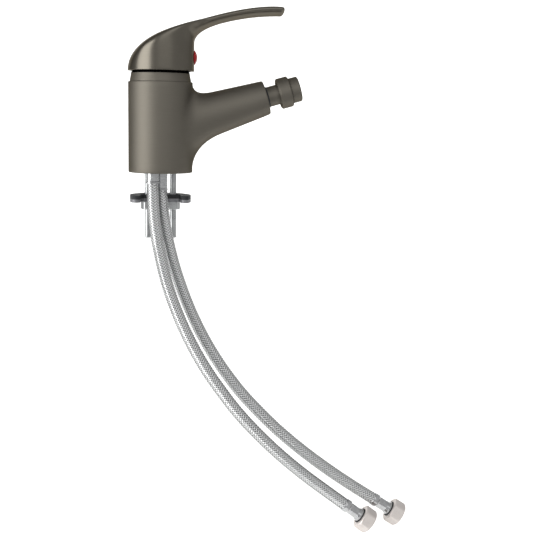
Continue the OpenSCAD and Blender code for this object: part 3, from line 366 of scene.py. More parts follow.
def braidTree():
    tree = bpy.data.node_groups.new("wireBraid", "GeometryNodeTree")
    face = tree.interface
    face.new_socket("Geometry", in_out="INPUT", socket_type="NodeSocketGeometry")
    for name in ("Radius", "Lay", "Cover", "Lift", "Tuck", "Core radius"):
        face.new_socket(name, in_out="INPUT", socket_type="NodeSocketFloat")
    for name in ("Strands", "Steps"):
        face.new_socket(name, in_out="INPUT", socket_type="NodeSocketInt")
    for name in ("Wire", "Core"):
        face.new_socket(name, in_out="INPUT", socket_type="NodeSocketMaterial")
    face.new_socket("Geometry", in_out="OUTPUT", socket_type="NodeSocketGeometry")
    given = addNode(tree, "NodeGroupInput").outputs

    path = addNode(tree, "GeometryNodeSetCurveNormal", inputs={"Curve": given["Geometry"]}).outputs[0]
    length = addNode(tree, "GeometryNodeCurveLength", inputs={"Curve": path}).outputs[0]
    twice = addNode(tree, "ShaderNodeMath", {"operation": "MULTIPLY"}, {
        0: given["Strands"], 1: 2.0}).outputs[0]
    # one flat ribbon, repeated for every strand
    ribbon = addNode(tree, "GeometryNodeMeshGrid", inputs={
        "Size X": 1.0, "Size Y": 1.0, "Vertices X": given["Steps"], "Vertices Y": 3})
    starts = addNode(tree, "GeometryNodeMeshLine", inputs={"Count": twice, "Offset": (0, 0, 0)}).outputs[0]
    number = addNode(tree, "GeometryNodeInputIndex").outputs[0]
    named = addNode(tree, "GeometryNodeStoreNamedAttribute", {"data_type": "FLOAT", "domain": "POINT"}, {
        "Geometry": starts, "Name": "strand", "Value": number}).outputs[0]
    copies = addNode(tree, "GeometryNodeInstanceOnPoints", inputs={
        "Points": named, "Instance": ribbon.outputs["Mesh"]}).outputs[0]
    flat = addNode(tree, "GeometryNodeRealizeInstances", inputs={0: copies}).outputs[0]
    strand = addNode(tree, "GeometryNodeInputNamedAttribute", {"data_type": "FLOAT"}, {
        "Name": "strand"}).outputs[0]
    spot = addNode(tree, "ShaderNodeSeparateXYZ", inputs={
        0: addNode(tree, "GeometryNodeInputPosition").outputs[0]})
    # the arithmetic of the weave, one line a node: result, operation, and what it works on
    known = {"strand": strand, "x": spot.outputs["X"], "y": spot.outputs["Y"], "length": length,
             "radius": given["Radius"], "lay": given["Lay"], "cover": given["Cover"], "lift": given["Lift"],
             "tuck": given["Tuck"], "strands": given["Strands"]}
    for result, operation, first, second in (
            ("along", "ADD", "x", 0.5),
            ("odd", "MODULO", "strand", 2.0),
            ("oddTwice", "MULTIPLY", "odd", 2.0),
            ("way", "SUBTRACT", 1.0, "oddTwice"),  # one half of the strands winds left, the other right
            ("halved", "DIVIDE", "strand", 2.0),
            ("pair", "FLOOR", "halved", 0.0),
            ("run", "MULTIPLY", "length", "along"),
            ("turns", "DIVIDE", "run", "lay"),
            ("pitch", "DIVIDE", 2 * math.pi, "strands"),
            ("covered", "MULTIPLY", "y", "cover"),
            ("spread", "MULTIPLY", "covered", "pitch"),
            ("signedTurns", "MULTIPLY", "turns", "way"),
            ("wound", "MULTIPLY", "signedTurns", 2 * math.pi),
            ("start", "MULTIPLY", "pair", "pitch"),
            ("middle", "ADD", "wound", "start"),
            ("angle", "ADD", "middle", "spread"),
            ("perTurn", "MULTIPLY", "strands", 2.0),
            ("crossings", "MULTIPLY", "signedTurns", "perTurn"),  # crossings passed so far
            ("pairTwice", "MULTIPLY", "pair", 2.0),
            ("phase", "ADD", "pairTwice", "crossings"),
            ("shifted", "ADD", "phase", 0.5),
            ("quarter", "MULTIPLY", "shifted", math.pi / 2),
            ("swing", "SINE", "quarter", 0.0),
            ("steep", "MULTIPLY", "swing", 1.5),  # level over and under, steep between
            ("capped", "MINIMUM", "steep", 1.0),
            ("firm", "MAXIMUM", "capped", -1.0),
            ("over", "MULTIPLY", "firm", "way"),
            ("up", "MULTIPLY", "over", "lift"),
            ("off", "ABSOLUTE", "y", 0.0),
            ("offSquared", "POWER", "off", 2.0),
            ("edge", "MULTIPLY", "offSquared", 4.0),  # 1 at both edges of a ribbon
            ("tucked", "MULTIPLY", "edge", "tuck"),
            ("raised", "ADD", "radius", "up"),
            ("reach", "SUBTRACT", "raised", "tucked"),
            ("u", "MULTIPLY", "along", 40.0),
            ("v", "ADD", "y", 0.5)):
        known[result] = addNode(tree, "ShaderNodeMath", {"operation": operation}, {
            0: known.get(first, first), 1: known.get(second, second)}).outputs[0]
    sample = addNode(tree, "GeometryNodeSampleCurve", {"mode": "FACTOR", "use_all_curves": True}, {
        "Curves": path, "Factor": known["along"]})
    spin = addNode(tree, "ShaderNodeVectorRotate", {"rotation_type": "AXIS_ANGLE"}, {
        "Vector": sample.outputs["Normal"], "Axis": sample.outputs["Tangent"], "Angle": known["angle"]})
    out = addNode(tree, "ShaderNodeVectorMath", {"operation": "SCALE"}, {
        0: spin.outputs[0], "Scale": known["reach"]})
    final = addNode(tree, "ShaderNodeVectorMath", {"operation": "ADD"}, {
        0: sample.outputs["Position"], 1: out.outputs[0]})
    uv = addNode(tree, "ShaderNodeCombineXYZ", inputs={0: known["u"], 1: known["v"]})
    mapped = addNode(tree, "GeometryNodeStoreNamedAttribute", {"data_type": "FLOAT2", "domain": "CORNER"}, {
        "Geometry": flat, "Name": "braidUv", "Value": uv.outputs[0]}).outputs[0]
    wound = addNode(tree, "GeometryNodeSetPosition", inputs={
        "Geometry": mapped, "Position": final.outputs[0]}).outputs[0]
    wires = addNode(tree, "GeometryNodeSetMaterial", inputs={
        "Geometry": wound, "Material": given["Wire"]}).outputs[0]
    rim = addNode(tree, "GeometryNodeCurvePrimitiveCircle", inputs={
        "Resolution": 20, "Radius": given["Core radius"]}).outputs[0]
    tube = addNode(tree, "GeometryNodeCurveToMesh", inputs={
        "Curve": path, "Profile Curve": rim, "Fill Caps": True}).outputs[0]
    core = addNode(tree, "GeometryNodeSetMaterial", inputs={
        "Geometry": tube, "Material": given["Core"]}).outputs[0]
    joined = addNode(tree, "GeometryNodeJoinGeometry")
    tree.links.new(core, joined.inputs[0])
    tree.links.new(wires, joined.inputs[0])
    whole = addNode(tree, "GeometryNodeRealizeInstances", inputs={0: joined.outputs[0]})
    addNode(tree, "NodeGroupOutput", inputs={0: whole.outputs[0]})
    return tree


def makeHose(name, route, tree, s):
    line, length = smoothLine(route, s["pathStep"])
    data = bpy.data.curves.new(name + "Route", "CURVE")
    data.dimensions = "3D"
    spline = data.splines.new("POLY")
    spline.points.add(len(line) - 1)
    for point, place in zip(spline.points, line):
        point.co = (*(place * mm), 1)
    radius, crossings = s["diameter"] / 2, 2 * s["strands"] * length / s["lay"]
    mesh = growMesh(name, data, tree, {
        "Radius": (radius - s["lift"]) * mm, "Core radius": (radius - s["coreDrop"]) * mm,
        "Lay": s["lay"] * mm, "Lift": s["lift"] * mm, "Tuck": s["tuck"] * mm, "Cover": s["cover"],
        "Strands": s["strands"], "Steps": int(crossings * s["stepsPerCrossing"]),
        "Wire": finishes["stainlessWireBraid"], "Core": finishes["mouldedBlackRubber"]})
    return placeMesh(name, mesh, "mixer", sharp=60), line * mm, length * mm


hoseTree = braidTree()
hotHose, hotLine, hotLength = makeHose("hotBraidedHose", hoseSettings["hot"], hoseTree, hoseSettings)
coldHose, coldLine, coldLength = makeHose("coldBraidedHose", hoseSettings["cold"], hoseTree, hoseSettings)
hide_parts("hot_hose")
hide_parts("cold_hose")
print("hoses braided:", len(hotHose.data.polygons), "and", len(coldHose.data.polygons), "faces")


def threadTree():
    tree = bpy.data.node_groups.new("rolledThread", "GeometryNodeTree")
    face = tree.interface
    face.new_socket("Geometry", in_out="INPUT", socket_type="NodeSocketGeometry")
    for name in ("Height", "Pitch", "Root", "Crest"):
        face.new_socket(name, in_out="INPUT", socket_type="NodeSocketFloat")
    face.new_socket("Plate", in_out="INPUT", socket_type="NodeSocketMaterial")
    face.new_socket("Geometry", in_out="OUTPUT", socket_type="NodeSocketGeometry")
    given = addNode(tree, "NodeGroupInput").outputs
    turns = addNode(tree, "ShaderNodeMath", {"operation": "DIVIDE"}, {
        0: given["Height"], 1: given["Pitch"]}).outputs[0]
    helix = addNode(tree, "GeometryNodeCurveSpiral", inputs={
        "Resolution": 20, "Rotations": turns, "Start Radius": given["Root"], "End Radius": given["Root"],
        "Height": given["Height"]}).outputs[0]
    upright = addNode(tree, "GeometryNodeSetCurveNormal", {"mode": "Z_UP"}, {"Curve": helix}).outputs[0]
    # the ridge: a triangle a pitch wide, out to the crest
    deep = addNode(tree, "ShaderNodeMath", {"operation": "SUBTRACT"}, {
        0: given["Crest"], 1: given["Root"]}).outputs[0]
    wide = addNode(tree, "ShaderNodeMath", {"operation": "MULTIPLY"}, {0: given["Pitch"], 1: 0.5}).outputs[0]
    left = addNode(tree, "ShaderNodeMath", {"operation": "MULTIPLY"}, {0: wide, 1: -1.0}).outputs[0]
    tip = addNode(tree, "ShaderNodeCombineXYZ", inputs={0: deep})
    one = addNode(tree, "ShaderNodeCombineXYZ", inputs={1: wide})
    two = addNode(tree, "ShaderNodeCombineXYZ", inputs={1: left})
    ridge = addNode(tree, "GeometryNodeCurvePrimitiveLine", inputs={
        "Start": one.outputs[0], "End": tip.outputs[0]})
    other = addNode(tree, "GeometryNodeCurvePrimitiveLine", inputs={
        "Start": tip.outputs[0], "End": two.outputs[0]})
    sides = addNode(tree, "GeometryNodeJoinGeometry")
    tree.links.new(ridge.outputs[0], sides.inputs[0])
    tree.links.new(other.outputs[0], sides.inputs[0])
    thread = addNode(tree, "GeometryNodeCurveToMesh", inputs={
        "Curve": upright, "Profile Curve": sides.outputs[0]})
    copies = addNode(tree, "GeometryNodeInstanceOnPoints", inputs={
        "Points": given["Geometry"], "Instance": thread.outputs[0]})
    real = addNode(tree, "GeometryNodeRealizeInstances", inputs={0: copies.outputs[0]})
    plated = addNode(tree, "GeometryNodeSetMaterial", inputs={
        "Geometry": real.outputs[0], "Material": given["Plate"]})
    addNode(tree, "NodeGroupOutput", inputs={0: plated.outputs[0]})
    return tree


screwTree = threadTree()


def makeThread(name, spots, height, pitch, root, crest, finish):
    # the same thread from each spot upwards, in mm; a crest inside the root makes it an inner thread
    points = bpy.data.meshes.new(name + "Spots")
    points.from_pydata([Vector(spot) * mm for spot in spots], [], [])
    return growMesh(name, points, screwTree, {
        "Height": height * mm, "Pitch": pitch * mm, "Root": root * mm, "Crest": crest * mm,
        "Plate": finishes[finish]})


# hose ends: chamfered nuts with a cut thread at the mouth, and near-black rings of painted shade in the gaps
# behind them
endSettings = {
    "flats": 18.0, "long": 10.0, "back": 16.5, "throat": (5.05, 2.2), "relief": (7.8, 5.3), "bore": 7.5,
    "perFace": 16, "soft": 1.08,
    "chamfer": ((1.6, 0.0), (1.15, 0.3), (0.7, 0.65), (0.4, 1.0)),  # in from a corner and along, times soft
    "pitch": 1.337, "threadDeep": 0.5, "threadFrom": 5.8, "threadStop": 0.8,
    "fittings": ("lower_ferrules", "union_tails", "union_washers"),
    # painted-shade rings: inner and outer radius, then from where to where along the axis
    "seal": (5.02, 6.3, 15.76, 16.44), "neckShadeRing": (7.0, 8.3, 0.0, 1.5), "neckAt": (82.8, 0, 59.4),
    "neckTilt": 16.0, "sealSoft": 0.25, "sealBend": 0.3, "sealSides": 64,
}


def axisFrame(point, direction):
    # Z along the direction, as the CAD places the same pieces
    z = Vector(direction).normalized()
    lean, turn = math.acos(z.z), math.atan2(z.y, z.x)
    x = Vector((math.cos(lean) * math.cos(turn), math.cos(lean) * math.sin(turn), -math.sin(lean)))
    axes = Matrix((x, z.cross(x), z)).transposed().to_4x4()
    return Matrix.Translation(Vector(point) * mm) @ axes


def makeNut(name, place, s):
    n = 6 * s["perFace"]
    # one flat is turned to face the camera, as in the photograph
    local = place.inverted() @ Vector(cameraSettings["place"])
    face = math.atan2(local.y, local.x)
    corner, soft, tall = s["flats"] / math.sqrt(3), s["soft"], s["long"]
    outside = [(corner - a * soft, b * soft) for a, b in s["chamfer"]]
    outside += [(corner - a * soft, tall - b * soft) for a, b in s["chamfer"][::-1]]
    inside = [(s["bore"], tall), (s["bore"], s["relief"][1]), s["relief"], (s["relief"][0], s["throat"][1]),
              s["throat"], (s["throat"][0], 0)]
    rings = []
    for limit, z in outside:
        ring = []
        for i in range(n):
            a = 2 * math.pi * i / n
            off = (a + math.pi / 6) % (math.pi / 3) - math.pi / 6
            r = min(s["flats"] / 2 / math.cos(off), limit)
            ring.append((r * math.cos(a), r * math.sin(a), z))
        rings.append(ring)
    shell = loftShell("nutShell", rings + turnedRings(inside, n), looped=True)
    shell.transform(Matrix.Rotation(face, 4, "Z"))
    thread = makeThread("nutThread", [(0, 0, s["threadFrom"])], tall - s["threadFrom"] - s["threadStop"],
                        s["pitch"], s["bore"], s["bore"] - s["threadDeep"], "satinNickelPlate")
    data = joinMeshes(name, [shell, thread], finishes["satinNickelPlate"])
    data.transform(place @ Matrix.Translation((0, 0, s["back"] * mm)))
    return data


# a near-black ring of painted shade, put in a gap where only shadow falls
def makeShadeRing(name, place, ring, s):
    inner, outer, low, high = ring
    soft = s["sealSoft"] * (high - low)
    ease = s["sealBend"] * soft
    profile = [(inner, low), (outer - soft, low), (outer - ease, low + ease), (outer, low + soft),
               (outer, high - soft), (outer - ease, high - ease), (outer - soft, high), (inner, high)]
    data = loftShell(name, turnedRings(profile, s["sealSides"]), looped=True)
    data.transform(place)
    data.materials.append(finishes["mouldedBlackRubber"])
    return placeMesh(name, data, "mixer")


for name, hose, route, line, length in (
        ("hot", hotHose, hoseSettings["hot"], hotLine, hotLength),
        ("cold", coldHose, hoseSettings["cold"], coldLine, coldLength)):
    place = axisFrame(route[-1], Vector(route[-1]) - Vector(route[-2]))
    nut = placeMesh(name + "HoseNut", makeNut(name + "HoseNut", place, endSettings),
                    name + "_nut", sharp=20)
    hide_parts(name + "_union_nut")
    # painted shade: a black ring in the shadow gap between the ferrule and the nut
    seal = makeShadeRing(name + "HoseShadeRing", place, endSettings["seal"], endSettings)
# painted shade: a black ring in the shadow gap between the spout's end and the neck
lean = math.radians(endSettings["neckTilt"])
neck = axisFrame(endSettings["neckAt"], (math.cos(lean), 0, math.sin(lean)))
makeShadeRing("neckShadeRing", neck, endSettings["neckShadeRing"], endSettings)
print("hose ends made")

# body: barrel with its recess and chamber, and the spout on its flare
bodySettings = {
    "radius": 25.0, "height": 70.0, "edge": 0.8, "recess": (16.9, 12.0), "groove": (22.2, 2.5),
    "chamber": (20.2, 38.0), "chamberMouth": (22.0, 61.96), "sides": 160,
    "wallRings": 12, "wallInset": 4,  # even rings up the wall, this far inside its edges
    "end": (82.8, 0, 59.4), "endRadius": 13.3, "endEdge": 0.9, "endBore": (8.56, 9.0), "tilt": 16.0,
    "topSlope": 13.2, "underSlope": 22.3, "spoutSides": 120, "flareRings": 33, "coneRings": 9,
    # flare: sunk in the wall, below the top edge and above the deck; then out to its bend and to its ends
    "sunk": 0.2, "flareTop": 0.3, "flareFoot": 2.0, "flareBend": 0.5, "topReach": 15, "underReach": 23,
    "flareHalf": 20.2, "bendWider": 1.4, "reachWider": 0.9,
    "easeRings": 20, "seatDepth": 1.3, "seatSteps": (0.02, 0.25, 0.5, 0.75, 1.0),
}


def makeBody(s):
    r, h, e = s["radius"], s["height"], s["edge"]
    quarter = np.linspace(0, math.pi / 2, 5)
    under = [(0, s["recess"][1]), s["recess"], (s["recess"][0], s["groove"][1]),
             s["groove"], (s["groove"][0], 0)]
    foot = [(r - e * (1 - math.cos(a)), e * (1 - math.sin(a))) for a in quarter[::-1]]
    wall = [(r, z) for z in np.linspace(e + s["wallInset"], h - e - s["wallInset"], s["wallRings"])]
    top = [(r - e * (1 - math.cos(a)), h - e * (1 - math.sin(a))) for a in quarter]
    inside = [(s["chamberMouth"][0], h), s["chamberMouth"], (s["chamber"][0], s["chamberMouth"][1]),
              s["chamber"], (0, s["chamber"][1])]
    barrelRings = turnedRings(under + foot + wall + top + inside, s["sides"])
    barrel = loftShell("barrel", barrelRings)
    tilt = math.radians(s["tilt"])
    aim = np.array([math.cos(tilt), 0, math.sin(tilt)])
    rise = np.array([-math.sin(tilt), 0, math.cos(tilt)])
    side = np.array([0, 1, 0])
    end = np.array(s["end"], float)
    endTop, endFoot = end + s["endRadius"] * rise, end - s["endRadius"] * rise
    turns = np.linspace(0, 2 * math.pi, s["spoutSides"], endpoint=False)

    def onLine(reach, far, slope):
        # the point that far out from the wall on the spout's straight upper or lower line
        return np.array([r + reach, 0, far[2] - math.tan(math.radians(slope)) * (far[0] - r - reach)])

    def ring(high, low, half, wrap):
        rows = []
        for a in turns:
            y = half * math.cos(a)
            back = wrap * (r - math.sqrt(r * r - y * y))
            rows.append((high + low) / 2 + (high - low) / 2 * math.sin(a) + np.array([-back, y, 0]))
        return rows

    def endRing(radius, back):
        return [end - aim * back + radius * (math.cos(a) * side + math.sin(a) * rise) for a in turns]

    tops = [np.array([r - s["sunk"], 0, h - e - s["flareTop"]]),
            onLine(s["flareBend"], endTop, s["topSlope"]),
            onLine(s["topReach"], endTop, s["topSlope"])]
    feet = [np.array([r - s["sunk"], 0, s["flareFoot"]]),
            onLine(s["flareBend"], endFoot, s["underSlope"]),
            onLine(s["underReach"], endFoot, s["underSlope"])]
    halves = [s["flareHalf"], s["endRadius"] + s["bendWider"], s["endRadius"] + s["reachWider"]]
    # the spout's root closes inside the barrel's wall, on a patch that follows it
    seatTop, seatFoot = (p - [s["seatDepth"], 0, 0] for p in (tops[0], feet[0]))
    seat = (seatTop + seatFoot) / 2
    rings = [ring(seat + f * (seatTop - seat), seat + f * (seatFoot - seat), f * s["flareHalf"], 1)
             for f in s["seatSteps"]]
    for t in np.linspace(0, 1, s["flareRings"]):
        rings.append(ring(bend(tops, t), bend(feet, t), float(bend(halves, t)), (1 - t * t) ** 2))
    for t in np.linspace(0, 1, s["coneRings"])[1:-1]:  # straight on to the end
        rings.append(ring(bend((tops[-1], endTop), t), bend((feet[-1], endFoot), t),
                          float(bend((halves[-1], s["endRadius"]), t)), 0))
    for a in quarter:  # rounded end, then its face and bore
        rings.append(endRing(s["endRadius"] - s["endEdge"] * (1 - math.cos(a)),
                             s["endEdge"] * (1 - math.sin(a))))
    boreRadius, boreDepth = s["endBore"]
    rings += [endRing(boreRadius, 0), endRing(boreRadius, boreDepth)]
    spout = loftShell("spout", rings)
    spoutStart = len(barrelRings) * s["sides"] + 2  # the barrel's rings and its two cap centres come first
    return joinMeshes("mixerBody", [barrel, spout], finishes["brushedGraphiteCoat"]), spoutStart


def easeFlare(mesh, start, s):
    # shading of the flare's first rings turns from the barrel's own to the spout's, so no seam shows
    n = s["spoutSides"]
    normals = [tuple(c.vector) for c in mesh.corner_normals]
    for corner, loop in enumerate(mesh.loops):
        ringNumber = (loop.vertex_index - start) // n - len(s["seatSteps"]) + 1
        if loop.vertex_index < start or not 1 <= ringNumber <= s["easeRings"]:
            continue
        t = (ringNumber - 1) / s["easeRings"]
        share = (1 - t) ** 2 * (1 + 2 * t)
        place = mesh.vertices[loop.vertex_index].co
        radial = Vector((place.x, place.y, 0)).normalized()
        normals[corner] = tuple((Vector(normals[corner]) * (1 - share) + radial * share).normalized())
    mesh.normals_split_custom_set(normals)


bodyMesh, spoutStart = makeBody(bodySettings)
mixerBody = placeMesh("mixerBody", bodyMesh, "mixer")
easeFlare(bodyMesh, spoutStart, bodySettings)
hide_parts("body")
print("body made")

# lever: a hollow dome that runs on into the handle as one skin
leverSettings = {
    "skirtX": 0.4, "skirtRadius": 25.7, "skirtZ": 78.2, "crown": (18.9, 113.9), "domeHigh": 37.2,
    "edge": 0.35, "corner": 7.0, "sides": 144, "domeRings": 60, "domeFrom": 0.05, "flareFrom": 0.6,
    "backRise": 21.42, "backPull": (18, 6.16),  # the back's pulls, over the skirt and before the crown
    "wall": 2.6, "roofDrop": 0.4, "hollowSpan": (0.75, 0.056), "hollowRings": 20,
    # handle: what pulls its top line after the crown and before the tip, and the share of it that is the root
    "topPull": (30, 10.3), "tipPull": (18.5, -1.2), "rootShare": 0.27, "sweepRings": 26,
    "underStart": (26.1, 99.7), "underTurn": (26.1, 108.7),
    "underJoin": (45.4, 114.8), "underSag": (68, 121.5),
    "rootHalf": 15.5, "turnHalf": 10.55, "handleHalf": 10.05, "waist": 1.6,
    "beam": 0.3, "upper": 0.6, "lower": 1.35,
    "tipTop": (93.4, 128.8), "tipFoot": (92.2, 121.8), "tipRound": 2.6, "thick": 7.0, "tipSlim": 0.55,
    "tipAngles": (12, 24, 36, 48, 60, 72, 82, 88),
}


def makeLever(s):
    r, k, skirtZ, wide = s["skirtRadius"], s["corner"], s["skirtZ"], s["handleHalf"]
    turns = np.linspace(0, 2 * math.pi, s["sides"], endpoint=False)
    front, back = s["skirtX"] + r, s["skirtX"] - r
    crown = np.array(s["crown"])
    backLine = [(back, skirtZ), (back, skirtZ + s["backRise"]), crown - s["backPull"], crown]
    rootAt = (crown[0] + front) / 2
    rootWall = math.sqrt(r * r - (rootAt - s["skirtX"]) ** 2)

    def hollow(t, inset, drop):
        p = bend(backLine, t)
        half = r * math.sqrt(max(0, 1 - ((p[1] - skirtZ) / s["domeHigh"]) ** 2)) - inset
        a, b = p[0] + inset, front - inset
        return [((a + b) / 2 - (b - a) / 2 * math.sin(q), half * math.cos(q), p[1] - drop) for q in turns]

    def domeRing(t):
        # the skirt's circle, cut off with round corners where the back slopes over it
        top = bend(backLine, t)
        low = skirtZ + t * (s["underStart"][1] - skirtZ)
        c = (top[0] + front) / 2
        e, half = c - s["skirtX"], c - top[0]
        side = math.sqrt(r * r - e * e)
        cut = max(0, half ** -k - (e + r) ** -k)
        flared = max(t - s["flareFrom"], 0) / (1 - s["flareFrom"])
        flare = 1 + flared ** 3 * (s["rootHalf"] / rootWall - 1)
        ring = []
        for q in turns:
            a = math.atan2(side * math.cos(q), -half * math.sin(q))
            wall = math.sqrt(r * r - (e * math.sin(a)) ** 2) - e * math.cos(a)
            d = (wall ** -k + cut * max(-math.cos(a), 0) ** k) ** (-1 / k)
            ring.append((c + d * math.cos(a), flare * d * math.sin(a),
                         low + (top[1] - low) / (2 * half) * (half - d * math.cos(a))))
        return ring

    root = [((rootAt - p[0]) / (rootAt - crown[0]), p[1] / s["rootHalf"]) for p in domeRing(1)]

    def handleShape(q):
        # boxy above the widest line, slanting in to the middle below it
        up, side = math.sin(q), math.cos(q)
        power = s["upper"] if up > 0 else s["lower"]
        reach = 1 - s["beam"] if up > 0 else 1 + s["beam"]
        rise = s["beam"] + math.copysign(reach * abs(up) ** power, up)
        return rise, math.copysign(abs(side) ** power, side)

    def section(high, low, half, even):
        c, g = (np.array(high) + np.array(low)) / 2, (np.array(high) - np.array(low)) / 2
        ring = []
        for q, (up, side) in zip(turns, root):
            shapeUp, shapeSide = handleShape(q)
            up += even * (shapeUp - up)
            side += even * (shapeSide - side)
            ring.append((c[0] + g[0] * up, half * side, c[1] + g[1] * up))
        return ring

    roof, edge, share = s["wall"] + s["roofDrop"], s["edge"], s["rootShare"]
    rings = [hollow(t, s["wall"], roof) for t in np.linspace(*s["hollowSpan"], s["hollowRings"])]
    rings.append(hollow(0, s["wall"], 0))
    for a in np.linspace(math.pi / 2, 0, 5):  # rounded lower edge
        rings.append(hollow(0, edge * (1 - math.cos(a)), edge * (math.sin(a) - 1)))
    rings += [domeRing(t) for t in np.linspace(s["domeFrom"], 1, s["domeRings"])]
    tipTop, tipFoot = np.array(s["tipTop"]), np.array(s["tipFoot"])
    topLine = [crown, crown + s["topPull"], tipTop - s["tipPull"], tipTop]
    rootLine = [s["underStart"], s["underTurn"], s["underJoin"]]
    underLine = [s["underJoin"], s["underSag"], tipFoot]
    sweep = np.linspace(0, 1, s["sweepRings"])[1:]
    for t in sweep:  # the root turns from the dome's last ring to the handle's section
        half = float(bend((s["rootHalf"], s["turnHalf"], wide), t))
        rings.append(section(bend(topLine, share * t), bend(rootLine, t), half, t * t * (3 - 2 * t)))
    for t in sweep:
        half = wide - s["waist"] * t * (1 - t)
        rings.append(section(bend(topLine, share + (1 - share) * t), bend(underLine, t), half, 1))
    tip = (tipTop + tipFoot) / 2
    for a in np.radians(s["tipAngles"]):
        thin = 1 - s["tipRound"] / s["thick"] * 2 * (1 - math.cos(a))
        slim = 1 - s["tipSlim"] * (1 - math.cos(a))
        c = tip + [s["tipRound"] * math.sin(a), 0]
        rings.append(section(c + thin * (tipTop - tip), c + thin * (tipFoot - tip), slim * wide, 1))
    return joinMeshes("leverShell", [loftShell("skin", rings)], finishes["polishedGraphiteCoat"])


leverShell = placeMesh("leverShell", makeLever(leverSettings), "handle", sharp=30)
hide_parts("lever")
print("lever made")

# index button: two half lenses on the lever's front, red for hot and blue for cold
indexSettings = {
    "radius": 5.5, "z": 88.9, "back": 24.6, "rim": 26.4, "edge": 0.25, "crown": 28.5,
    "steps": 40, "bowSteps": 9, "merge": 0.001,
}


def makeIndex(name, side, finish, s):
    r, rise = s["radius"] - s["edge"], s["crown"] - s["rim"] - s["edge"]
    bow = (r * r + rise * rise) / (2 * rise)
    span = math.asin(r / bow)
    line = [(0, s["back"]), (s["radius"], s["back"]), (s["radius"], s["rim"]), (r, s["rim"] + s["edge"])]
    line += [(bow * math.sin(a), s["crown"] - bow + bow * math.cos(a))
             for a in np.linspace(span, 0, s["bowSteps"])[1:-1]]
    line.append((0, s["crown"]))
    mesh = bmesh.new()
    fans = []
    for a in np.linspace(0, math.pi, s["steps"] + 1):
        y, z = side * math.sin(a), math.cos(a)
        fans.append([mesh.verts.new((x * mm, rad * y * mm, (s["z"] + rad * z) * mm)) for rad, x in line])
    for one, two in zip(fans, fans[1:]):
        for i in range(len(line) - 1):
            mesh.faces.new((one[i], one[i + 1], two[i + 1], two[i]))
    mesh.faces.new(fans[0])
    mesh.faces.new(fans[-1])
    bmesh.ops.remove_doubles(mesh, verts=mesh.verts, dist=s["merge"] * mm)
    bmesh.ops.dissolve_degenerate(mesh, edges=mesh.edges, dist=s["merge"] * mm)
    bmesh.ops.recalc_face_normals(mesh, faces=mesh.faces)
    data = bpy.data.meshes.new(name)
    mesh.to_mesh(data)
    mesh.free()
    data.materials.append(finishes[finish])
    return data


for name, side, finish, slot, node in (
        ("redIndexHalf", -1, "mouldedRedAbs", "red_plastic", "index_hot"),
        ("blueIndexHalf", 1, "mouldedBlueAbs", "blue_plastic", "index_cold")):
    half = placeMesh(name, makeIndex(name, side, finish, indexSettings), "handle", sharp=30)
    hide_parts(node)
print("index button made")

# studs: rolled thread on each, with a screwdriver slot in the lower end
studSettings = {
    "x": 10.0, "y": 9.069, "top": 23.0, "bottom": -53.0, "plainTop": 3,
    "radius": 3.0, "root": 2.6, "pitch": 1.0,
    "slot": 1.0, "slotDepth": 1.5, "lipHigh": 1.6, "chamfer": 0.8, "rodSides": 40, "arcSteps": 24,
}


def makeStuds(s):
    r, low, high = s["radius"], s["bottom"], s["top"]
    slotTop, lipTop = low + s["slotDepth"], low + s["lipHigh"]
    spots = [(side * s["x"], s["y"], lipTop) for side in (-1, 1)]
    parts = [makeThread("studThread", spots, high - s["plainTop"] - lipTop, s["pitch"], s["root"], r,
                        "brightZincPlate")]
    rodLine = [(0, slotTop), (s["root"], slotTop), (s["root"], high), (0, high)]
    lip = math.asin(s["slot"] / 2 / r)
    arc = np.linspace(lip, math.pi - lip, s["arcSteps"])
    for x, y, start in spots:
        rod = loftShell("rod", turnedRings(rodLine, s["rodSides"]))
        rod.transform(Matrix.Translation((x * mm, y * mm, 0)))
        parts.append(rod)
        for half in (-1, 1):  # the two lips of the slot
            rows = [[(x + rad * math.cos(a), y + half * max(rad * math.sin(a), s["slot"] / 2), z)
                     for a in arc]
                    for rad, z in ((r - s["chamfer"], low), (r, low + s["chamfer"]), (r, start))]
            parts.append(loftShell("lip", rows))
    return joinMeshes("threadedStuds", parts, finishes["brightZincPlate"])


threadedStuds = placeMesh("threadedStuds", makeStuds(studSettings), "mixer", sharp=40)
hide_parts("studs")
print("studs threaded")

# every other CAD piece keeps its shape and takes its finish here
nodeFinish = {
    "brushedGraphiteCoat": ["swivel_adaptor", "nozzle_cap", "nozzle_tip"],
    "graphiteCoatPaintedShade": ["bonnet"],
    "mouldedBlackRubber": ["base_gasket", "cartridge_seals", "adaptor_seal", "aerator_gasket", "clamp_pad",
                           "tail_seals", "union_washers"],
    "turnedBrass": ["cartridge_nut", "hose_tails", "union_tails"],
    "mouldedWhiteAcetal": ["cartridge_housing", "cartridge_base", "ball_liner", "aerator"],
    "glassFilledNylon": ["rotor", "disc_carrier"],
    "lappedAlumina": ["fixed_disc", "moving_disc"],
    "brightZincPlate": ["left_stud_nut", "right_stud_nut", "grub_screw", "stem", "stem_pin"],
    "tumbledGreySteel": ["clamp_plate"],
    "drawnStainless": ["upper_ferrules"],
    "drawnStainlessSlant": ["lower_ferrules"],
}
for finishName, members in nodeFinish.items():
    for member in members:
        nodes[member].data.materials.clear()
        nodes[member].data.materials.append(finishes[finishName])
print("node finishes set")

# studio: white floor and backdrop, grey surround, soft lamps
studioSettings = {
    "floorZ": cadBox[0][2] - 2 * mm, "white": "#f4f4f2", "glow": 0.75,
    "backdropY": 1.7, "nearY": -0.1, "across": (-1.5, 1.5), "tall": 2.4, "sweep": 0.35, "sweepSteps": 13,
    "surroundLow": 0.28, "surroundHigh": 0.62, "brightSide": (0.7, -0.7, 0.1), "surroundFrom": (-0.5, 0.6),
    "lamps": [
        # name, place, target, size, power
        ("leftSoftbox", (-1.16, -0.59, 0.15), (0, 0, 0.03), (1.2, 1.2), 18),
        ("frontTopSoftbox", (0.3, -1.2, 0.62), (0.05, 0, 0.0), (1.2, 0.9), 2.9),
    ],
}


